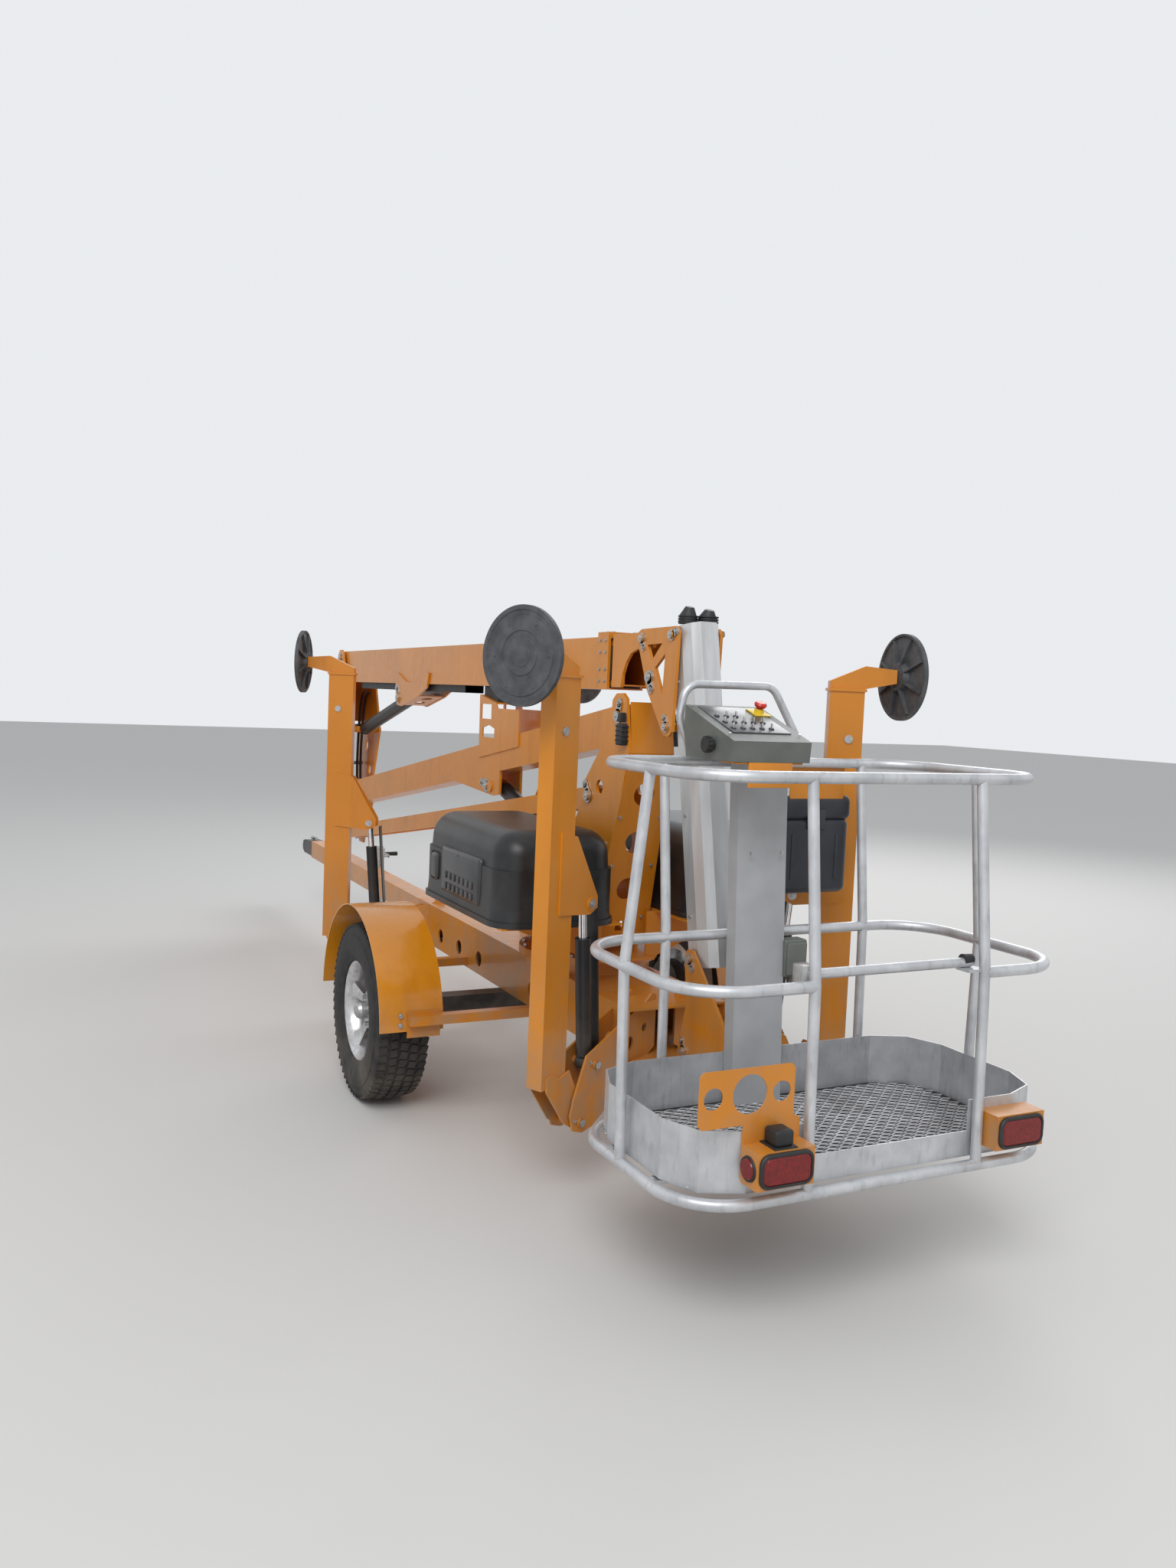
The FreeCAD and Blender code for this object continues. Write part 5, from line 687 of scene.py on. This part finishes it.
for way in (-1, 1):
    for y in (0.022, 0.068):
        for z in (1.735, 1.780, 1.845, 1.890):
            hex_bolt(collar_bolts, (way * 0.0782, boom_low.y + y, z), (way, 0, 0), 0.006)
for x in (-0.045, 0.045):
    for y in (0.022, 0.068):
        hex_bolt(collar_bolts, (x, boom_low.y + y, 1.9222), (0, 0, 1), 0.006)
settle("collar_bolts", collar_bolts, "boom", zinc)
boom_kit = bmesh.new()
pad_rows = (
    # low and high corner across and up
    ((-0.066, 1.7100), (0.066, 1.7170)), ((-0.066, 1.8920), (0.066, 1.8990)),
    ((-0.0672, 1.7400), (-0.0598, 1.8700)), ((0.0598, 1.7400), (0.0672, 1.8700)),
)
for (x, z), (far_x, far_z) in pad_rows:
    block(boom_kit, (x, boom_low.y - 0.0045, z), (far_x, boom_low.y + 0.004, far_z), 0.002)
settle("boom_wear_pads", boom_kit, "boom", trim_black)


def hose(name, body, points, radius, finish):
    """A clamped hose bundle: a round tube on a smooth line through its clamps."""
    line = bpy.data.curves.new(name, "CURVE")
    line.dimensions = "3D"
    run = line.splines.new("NURBS")
    run.points.add(len(points) - 1)
    for point, place in zip(run.points, points):
        point.co = (*place, 1)
    run.order_u = 3
    run.use_endpoint_u = True
    run.resolution_u = 8
    line.bevel_depth = radius
    line.bevel_resolution = 4
    line.use_fill_caps = True
    drawn = bpy.data.objects.new(name, line)
    scene.collection.objects.link(drawn)
    mesh = bpy.data.meshes.new_from_object(drawn.evaluated_get(bpy.context.evaluated_depsgraph_get()))
    bpy.data.objects.remove(drawn)
    piece = bpy.data.objects.new(name, mesh)
    scene.collection.objects.link(piece)
    mesh.materials.clear()
    mesh.materials.append(finish)
    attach(piece, body)


hose_rubber = mottled("hose_rubber", 0.5, 0.0, (22.0, 5.0), (0.3, (0.010, 0.010, 0.011)),
                      (0.7, (0.022, 0.022, 0.023)), (500.0, 2.0, 0.0003, 0.5))
for i, x in enumerate((-0.058, -0.034, 0.034, 0.058)):
    top = 1.640 - 0.01 * (i % 2)
    hose(f"upright_pipe_{i}", "upright", (
        (x, axle_y + 3.245, 0.760), (x, axle_y + 3.255, 0.950), (x * 0.9, axle_y + 3.265, 1.200),
        (x, axle_y + 3.250, 1.450), (x, axle_y + 3.225, top - 0.08), (x, axle_y + 3.175, top),
        (x, axle_y + 3.125, top + 0.005),
    ), 0.0085, hose_rubber)
clamps = bmesh.new()
for z in (0.90, 1.15, 1.40):
    block(clamps, (-0.074, axle_y + 3.272, z), (0.074, axle_y + 3.284, z + 0.024), 0.003)
    for x in (-0.046, 0.0, 0.046):
        hex_bolt(clamps, (x, axle_y + 3.273, z + 0.012), (0, -1, 0), 0.006)
settle("upright_clamps", clamps, "upright", zinc)

# Knuckle and jib
# The jib is a pale extruded aluminium tube with drawing lines along it and scuffs. Two black hose boots stand
# on its top, bolts hold its inner guides, and a slim link of two channels runs ahead of it.
jib_metal, tree, shader, where = new_finish("jib_aluminium", 0.38, 0.55)
lines = grain(tree, where, 30.0, 8.0, (1.0, 0.4, 0.015))
tone = ramp(tree, lines, (0.25, (0.56, 0.57, 0.58)), (0.75, (0.73, 0.74, 0.75)))
smears = ramp(tree, grain(tree, where, 6.0, 9.0, (1.0, 1.0, 0.35)), (0.5, (1.0, 1.0, 1.0)),
              (0.72, (0.72, 0.70, 0.67)))
tone = blended(tree, 1.0, tone, smears, "MULTIPLY")
tree.links.new(tone, shader.inputs["Base Color"])
relief(tree, shader, grain(tree, where, 90.0, 4.0, (1.0, 1.0, 0.02)), 0.0003, 0.5)
dress(jib_metal, "jib", "jib_link")
boots = bmesh.new()
for x, y, tall, wide in ((-0.030, -1.122, 0.058, 0.034), (0.032, -1.150, 0.050, 0.036)):
    centre = Vector((x, axle_y + y, 1.936))
    bend = centre + Vector((0, 0, tall * 0.45))
    shaft(boots, centre, bend, wide, 24, wide * 0.92)
    shaft(boots, bend, centre + Vector((0, -0.008, tall)), wide * 0.92, 24, wide * 0.45)
    for step in range(3):
        z = 0.006 + step * 0.009
        shaft(boots, centre + Vector((0, 0, z)), centre + Vector((0, 0, z + 0.004)), wide * 1.04, 24)
settle("jib_boots", boots, "jib", trim_black, 40)
jib_lean = math.radians(11)
jib_bolts = bmesh.new()
for along in (0.16, 0.30, 0.62, 0.96):
    for way in (-1, 1):
        side = Vector((way * 0.0702, axle_y - 1.122 - along * math.sin(jib_lean) + 0.010 * math.cos(jib_lean),
                       1.895 - along * math.cos(jib_lean) - 0.010 * math.sin(jib_lean)))
        hex_bolt(jib_bolts, side, (way, 0, 0), 0.006)
settle("jib_bolts", jib_bolts, "jib", zinc)

# Platform tubes
# Rails, posts and pan are satin aluminium, bent and welded by hand: drawn tube with fine scratches, dull grey
# oxide, a little grease at the welds, and bright rolled edges on the pan's toe boards.
raw_metal, tree, shader, where = new_finish("raw_aluminium", 0.42, 0.6)
tone = ramp(tree, grain(tree, where, 12.0, 8.0), (0.3, (0.50, 0.51, 0.53)), (0.72, (0.68, 0.69, 0.71)))
marks = ramp(tree, grain(tree, where, 55.0, 8.0, (1.0, 1.0, 0.25)), (0.55, (1.0, 1.0, 1.0)),
             (0.8, (0.74, 0.73, 0.72)))
tone = blended(tree, 1.0, tone, marks, "MULTIPLY")
tree.links.new(tone, shader.inputs["Base Color"])
relief(tree, shader, grain(tree, where, 240.0, 4.0), 0.0002, 0.6)
dress(raw_metal, "platform_rail_low", "platform_rail_mid", "platform_rail_top", "platform_posts",
      "platform_tray", "gate_bar")
gate_low, gate_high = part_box("gate_bar")
latch = bmesh.new()
block(latch, (gate_low.x - 0.014, gate_low.y - 0.012, gate_high.z - 0.052),
      (gate_low.x + 0.030, gate_high.y + 0.006, gate_high.z + 0.008), 0.004)
block(latch, (gate_low.x + 0.004, gate_low.y - 0.024, gate_high.z - 0.040),
      (gate_low.x + 0.024, gate_low.y - 0.011, gate_high.z - 0.006), 0.003)
hex_bolt(latch, (gate_low.x + 0.014, gate_low.y - 0.024, gate_high.z - 0.022), (0, -1, 0), 0.006)
settle("gate_latch", latch, "gate", zinc)
bar_end = bmesh.new()
bar_y, bar_z = (gate_low.y + gate_high.y) / 2, gate_high.z - 0.014
shaft(bar_end, (gate_high.x - 0.030, bar_y, bar_z), (gate_high.x + 0.004, bar_y, bar_z), 0.0165, 28, 0.0150)
settle("gate_bar_cap", bar_end, "gate", trim_black)

# Floor
# The floor is raised expanded metal: slit and stretched aluminium sheet with diamond openings, its strands
# twisted a little out of the plane, welded into the pan.
mesh_metal, tree, shader, where = new_finish("expanded_metal", 0.46, 0.65)
tone = ramp(tree, grain(tree, where, 25.0, 7.0), (0.3, (0.34, 0.34, 0.35)), (0.7, (0.58, 0.58, 0.60)))
dirt = ramp(tree, grain(tree, where, 5.0, 6.0), (0.5, (0.0, 0.0, 0.0)), (0.8, (0.5, 0.5, 0.5)))
tree.links.new(blended(tree, dirt, tone, (0.16, 0.14, 0.12)), shader.inputs["Base Color"])
relief(tree, shader, grain(tree, where, 300.0, 3.0), 0.0003, 0.6)
under_mesh = mottled("floor_shadow", 0.8, 0.2, (14.0, 5.0), (0.3, (0.016, 0.016, 0.017)),
                     (0.7, (0.045, 0.043, 0.041)), (200.0, 3.0, 0.0003, 0.6))
dress(under_mesh, "platform_floor")
floor_low, floor_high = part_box("platform_floor")
strands = bmesh.new()
cell_long, cell_wide, strand_wide, strand_thick, strand_twist = 0.046, 0.020, 0.0042, 0.0022, 0.45
strand_z = floor_high.z + 0.0022
strand_long = math.hypot(cell_long / 2, cell_wide / 2) * 1.05
slope = math.atan2(cell_wide, cell_long)
edge_room, corner_room = 0.006, 0.165
left, right = floor_low.x + edge_room, floor_high.x - edge_room
near, far = floor_low.y + edge_room, floor_high.y - edge_room
rows = int((far - near) / cell_wide)
columns = int((right - left) / cell_long)
for row in range(rows):
    for column in range(columns):
        x = left + (column + 0.5 + (0.5 if row % 2 else 0.0)) * cell_long
        y = near + (row + 0.5) * cell_wide
        beside = max(left + corner_room - x, x - right + corner_room, 0)
        behind = max(near + corner_room - y, y - far + corner_room, 0)
        if math.hypot(beside, behind) > corner_room - 0.012 or x > right - 0.02:
            continue
        for lean in (-1, 1):
            for side in (1, -1):
                spot = (x + side * cell_long / 4, y + lean * cell_wide / 4, strand_z)
                slab(strands, Matrix.Translation(spot) @ Matrix.Rotation(-side * lean * slope, 4, "Z")
                     @ Matrix.Rotation(lean * strand_twist, 4, "X"), (strand_long, strand_wide, strand_thick))
settle("floor_strands", strands, "platform", mesh_metal, 20)

# Control stand
# A folded pale grey channel carries the controls: a cast grey box with a sloped panel, an emergency button on
# a yellow plate, a round knob on its side, corner screws and a folded orange bracket below.
post_grey = mottled("post_grey", 0.45, 0.0, (6.0, 6.0), (0.3, (0.36, 0.37, 0.38)), (0.7, (0.46, 0.47, 0.48)),
                    (420.0, 2.0, 0.0003, 0.5))
case_grey = mottled("case_grey", 0.48, 0.0, (9.0, 6.0), (0.3, (0.108, 0.118, 0.106)),
                    (0.7, (0.160, 0.172, 0.156)), (500.0, 3.0, 0.0003, 0.6))
panel_dark = mottled("panel_dark", 0.3, 0.0, (30.0, 4.0), (0.3, (0.046, 0.049, 0.054)),
                     (0.7, (0.074, 0.078, 0.085)), (800.0, 2.0, 0.0001, 0.4))
signal_red = mottled("signal_red", 0.28, 0.0, (60.0, 3.0), (0.3, (0.52, 0.014, 0.012)),
                     (0.7, (0.70, 0.028, 0.022)))
signal_yellow = mottled("signal_yellow", 0.35, 0.0, (60.0, 3.0), (0.3, (0.72, 0.50, 0.020)),
                        (0.7, (0.84, 0.60, 0.035)))
dress(post_grey, "control_post")
dress(case_grey, "control_box")
box_low, box_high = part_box("control_box")
panel_from = Vector((0, box_low.y + 0.0335, box_low.z + 0.0742))
panel_to = Vector((0, box_high.y - 0.006, box_high.z - 0.0015))
rise = (panel_to - panel_from).normalized()
over = Vector((0, -rise.z, rise.y))
panel_turn = Matrix((Vector((1, 0, 0)), rise, over)).transposed().to_4x4()


def on_panel(across_x, along, above=0.0):
    """A place on the sloped panel: across the machine, up along the slope, out of the face."""
    return Vector((across_x, panel_from.y, panel_from.z)) + rise * along + over * above


def panel_block(form, left_x, right_x, start, end, above, thick, edge):
    """A rounded plate that lies on the sloped panel."""
    middle = on_panel((left_x + right_x) / 2, (start + end) / 2, above + thick / 2)
    verts = slab(form, Matrix.Translation(middle) @ panel_turn, (right_x - left_x, end - start, thick))
    soften(form, list({e for v in verts for e in v.link_edges}), edge, 3)


length = (panel_to - panel_from).length
lid = bmesh.new()
panel_block(lid, box_low.x + 0.034, box_high.x - 0.034, 0.026, length - 0.014, 0.0, 0.003, 0.001)
settle("panel_plate", lid, "platform", panel_dark)
keys = bmesh.new()
collars = bmesh.new()
for column in range(5):
    x = box_low.x + 0.052 + column * 0.034
    for along in (0.058, 0.108, 0.158):
        if column > 2 and along > 0.15:
            continue
        spot = on_panel(x, along, 0.003)
        shaft(collars, spot, spot + over * 0.004, 0.0095, 20, 0.0070)
        shaft(keys, spot + over * 0.003, spot + over * 0.017 + rise * 0.004, 0.0026, 12, 0.0036)
settle("panel_switches", keys, "platform", chrome)
settle("switch_collars", collars, "platform", trim_black)
screws = bmesh.new()
for x in (box_low.x + 0.014, box_high.x - 0.014):
    for along in (0.014, length - 0.014):
        spot = on_panel(x, along, 0.004)
        shaft(screws, spot, spot + over * 0.002, 0.0045, 16, 0.004)
for x in (box_low.x + 0.03, box_high.x - 0.03):
    for y in (box_low.y + 0.04, box_high.y - 0.06):
        shaft(screws, (x, y, box_low.z + 0.0005), (x, y, box_low.z - 0.003), 0.005, 12)
settle("panel_screws", screws, "platform", zinc)
stop_plate = bmesh.new()
stop_x, stop_along = box_high.x - 0.045, length - 0.060
plate_half = 0.030
panel_block(stop_plate, stop_x - plate_half, stop_x + plate_half, stop_along - plate_half,
            stop_along + plate_half, 0.0025, 0.0035, 0.001)
stop_button = bmesh.new()
spot = on_panel(stop_x, stop_along, 0.006)
shaft(stop_plate, spot, spot + over * 0.012, 0.016, 28, 0.014)
settle("stop_plate", stop_plate, "platform", signal_yellow)
shaft(stop_button, spot + over * 0.012, spot + over * 0.018, 0.011, 28)
shaft(stop_button, spot + over * 0.018, spot + over * 0.026, 0.017, 32, 0.0205)
shaft(stop_button, spot + over * 0.026, spot + over * 0.033, 0.0205, 32, 0.015)
settle("stop_button", stop_button, "platform", signal_red)
side_knob = bmesh.new()
knob = Vector((box_low.x, (box_low.y + box_high.y) / 2 - 0.03, box_low.z + 0.045))
shaft(side_knob, knob + Vector((0.001, 0, 0)), knob - Vector((0.010, 0, 0)), 0.016, 28)
shaft(side_knob, knob - Vector((0.010, 0, 0)), knob - Vector((0.030, 0, 0)), 0.024, 28, 0.021)
for i in range(12):
    angle = math.tau * i / 12
    grip_from = knob + Vector((-0.011, 0.0228 * math.cos(angle), 0.0228 * math.sin(angle)))
    shaft(side_knob, grip_from, grip_from - Vector((0.017, 0, 0)), 0.0028, 8)
settle("side_knob", side_knob, "platform", trim_black)
carrier = bmesh.new()
carrier_top = box_low.z - 0.0003
block(carrier, (box_low.x + 0.02, box_low.y + 0.012, box_low.z - 0.0065),
      (box_high.x - 0.02, box_low.y + 0.10, carrier_top), 0.002)
block(carrier, (box_low.x + 0.06, box_low.y + 0.006, box_low.z - 0.075),
      (box_high.x - 0.06, box_low.y + 0.012, carrier_top), 0.002)
settle("panel_carrier", carrier, "platform", lift_paint)
post_low, post_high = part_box("control_post")
post_bolts = bmesh.new()
for z in (post_low.z + 0.12, post_low.z + 0.45, post_low.z + 0.80):
    lean = (z - post_low.z) * 0.049
    for x in (post_low.x + 0.035, post_high.x - 0.035):
        hex_bolt(post_bolts, (x, post_low.y + 0.0535 - lean, z), (0, -1, 0), 0.006)
settle("post_bolts", post_bolts, "platform", zinc)

# Document box and outlet
# The manual's box is a blow-moulded blue-black case with a lift-up lid, hung on the front rails by an orange
# bracket. Beside the control stand sits a small grey weatherproof outlet with a spring lid.
case_black = mottled("case_black", 0.4, 0.0, (7.0, 6.0), (0.3, (0.016, 0.018, 0.024)),
                     (0.7, (0.034, 0.038, 0.048)), (450.0, 3.0, 0.0004, 0.6))
doc_low, doc_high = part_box("document_box")
body_top = 1.375
case = bmesh.new()
block(case, doc_low, (doc_high.x, doc_high.y, body_top - 0.075), 0.026, 5)
block(case, (doc_low.x - 0.004, doc_low.y - 0.004, body_top - 0.085),
      (doc_high.x + 0.004, doc_high.y, body_top), 0.024, 5)
block(case, (doc_low.x + 0.11, doc_low.y - 0.010, body_top - 0.115),
      (doc_low.x + 0.18, doc_low.y, body_top - 0.045), 0.004)
for x in (doc_low.x + 0.05, doc_high.x - 0.06):
    block(case, (x, doc_low.y - 0.003, doc_low.z + 0.05),
          (x + 0.012, doc_low.y + 0.01, body_top - 0.13), 0.003)
settle("document_case", case, "platform", case_black, 40)
hanger = bmesh.new()
block(hanger, (doc_low.x + 0.035, doc_high.y - 0.110, body_top - 0.02),
      (doc_high.x - 0.035, doc_high.y - 0.104, doc_high.z), 0.002)
for x in (doc_low.x + 0.075, doc_high.x - 0.075):
    hex_bolt(hanger, (x, doc_high.y - 0.1105, body_top + 0.05), (0, -1, 0), 0.006)
settle("document_hanger", hanger, "platform", lift_paint, 35, ("document_box",))
outlet = bmesh.new()
out_y = axle_y - 1.545 - 0.0165
block(outlet, (0.093, out_y - 0.055, 0.805), (0.178, out_y, 0.925), 0.006, 3)
block(outlet, (0.098, out_y - 0.064, 0.812), (0.173, out_y - 0.053, 0.918), 0.005, 3)
shaft(outlet, (0.135, out_y - 0.030, 0.806), (0.135, out_y - 0.030, 0.782), 0.013, 20, 0.011)
settle("outlet_box", outlet, "platform", case_grey)

# Tail lamps
# Two painted housings hang on the pan's rear wall. Each has an oblong red lens in a thick rubber ring, and
# the left one also has a round red side lens and a black plastic cap on top.
dress(lift_paint, "tail_lamps")
lens_red, tree, shader, where = new_finish("lens_red", 0.16)
tone = ramp(tree, grain(tree, where, 90.0, 2.0), (0.3, (0.150, 0.004, 0.004)), (0.7, (0.235, 0.008, 0.007)))
tree.links.new(tone, shader.inputs["Base Color"])
ribs_pattern = tree.nodes.new("ShaderNodeTexWave")
ribs_pattern.inputs["Scale"].default_value = 55.0
tree.links.new(where, ribs_pattern.inputs["Vector"])
relief(tree, shader, ribs_pattern.outputs["Fac"], 0.0006, 0.7)


def oblong(form, middle, half_wide, half_high, bend, tall, steps):
    """A rounded plate on a rear wall, whose front is then stepped in and out."""
    sunk = 0.003
    verts = slab(form, Matrix.Translation(middle - Vector((0, tall / 2 - sunk / 2, 0))),
                 (half_wide * 2, tall + sunk, half_high * 2))
    edges = {e for v in verts for e in v.link_edges}
    bent = soften(form, [e for e in edges if abs(e.verts[0].co.y - e.verts[1].co.y) > tall], bend, 7)
    around = {f for v in bent["verts"] for f in v.link_faces}
    front = min(around, key=lambda f: f.calc_center_median().y)
    for thickness, depth in steps:
        bmesh.ops.inset_region(form, faces=[front], thickness=thickness, depth=depth, use_even_offset=True)


lamp_low, lamp_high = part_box("tail_lamps")
lamp_wide = 0.178
half_tall = (lamp_high.z - lamp_low.z) / 2
rings = bmesh.new()
lenses = bmesh.new()
for left_x in (lamp_low.x, lamp_high.x - lamp_wide):
    face = Vector((left_x + lamp_wide / 2, lamp_low.y, lamp_low.z + half_tall))
    oblong(rings, face, lamp_wide / 2 - 0.006, half_tall - 0.004, 0.028, 0.006,
           ((0.003, 0.004), (0.006, 0.0), (0.002, -0.005)))
    oblong(lenses, face, lamp_wide / 2 - 0.016, half_tall - 0.014, 0.019, 0.008, ((0.004, 0.003),))
side_x = lamp_low.x
side_y, side_z = (lamp_low.y + lamp_high.y) / 2, (lamp_low.z + lamp_high.z) / 2 - 0.002
shaft(rings, (side_x + 0.001, side_y, side_z), (side_x - 0.005, side_y, side_z), 0.034, 32, 0.032)
shaft(lenses, (side_x - 0.004, side_y, side_z), (side_x - 0.0095, side_y, side_z), 0.028, 32, 0.024)
cap_x, cap_z = lamp_low.x + 0.089, lamp_high.z
block(rings, (cap_x - 0.036, side_y - 0.036, cap_z - 0.001),
      (cap_x + 0.036, side_y + 0.036, cap_z + 0.004), 0.0015)
block(rings, (cap_x - 0.029, side_y - 0.029, cap_z + 0.003),
      (cap_x + 0.029, side_y + 0.029, cap_z + 0.046), 0.009, 4)
settle("lamp_rings", rings, "platform", trim_black)
settle("lamp_lenses", lenses, "platform", lens_red)

# Coupler and jack
# The ball coupler is pressed steel with a latch lever on top, bolted through its sides to the drawbar. The
# screw jack is zinc plated and has a side crank with a black grip.
coupler_low, coupler_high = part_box("coupler")
lever = bmesh.new()
lever_y, lever_z = coupler_high.y - 0.128, coupler_high.z + 0.006
block(lever, (-0.012, coupler_high.y - 0.150, coupler_high.z - 0.004),
      (0.012, coupler_high.y - 0.105, coupler_high.z + 0.018), 0.003)
block(lever, (-0.010, coupler_high.y - 0.235, coupler_high.z + 0.012),
      (0.010, coupler_high.y - 0.110, coupler_high.z + 0.020), 0.003)
shaft(lever, (-0.020, lever_y, lever_z), (0.020, lever_y, lever_z), 0.005, 12)
settle("coupler_lever", lever, "chassis", zinc)
coupler_bolts = bmesh.new()
for y in (coupler_low.y + 0.045, coupler_low.y + 0.115):
    for way in (-1, 1):
        hex_bolt(coupler_bolts, (way * 0.0395, y, (coupler_low.z + coupler_high.z) / 2 + 0.012), (way, 0, 0))
settle("coupler_bolts", coupler_bolts, "chassis", zinc)
jack_low, jack_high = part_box("jack")
crank = bmesh.new()
jack_x, jack_y = (jack_low.x + jack_high.x) / 2, (jack_low.y + jack_high.y) / 2
crank_z, grip_x, grip_y = jack_high.z - 0.055, jack_x + 0.064, jack_y + 0.106
shaft(crank, (jack_x, jack_y, jack_high.z - 0.010), (jack_x, jack_y, jack_high.z + 0.012), 0.026, 28, 0.022)
shaft(crank, (jack_x + 0.022, jack_y, crank_z), (jack_x + 0.062, jack_y, crank_z), 0.007, 16)
block(crank, (jack_x + 0.058, jack_y - 0.010, crank_z - 0.011),
      (grip_x, jack_y + 0.120, crank_z + 0.011), 0.002)
settle("jack_crank", crank, "chassis", zinc)
handle = bmesh.new()
shaft(handle, (grip_x, grip_y, crank_z), (jack_x + 0.150, grip_y, crank_z), 0.012, 24, 0.014)
settle("crank_grip", handle, "chassis", trim_black)
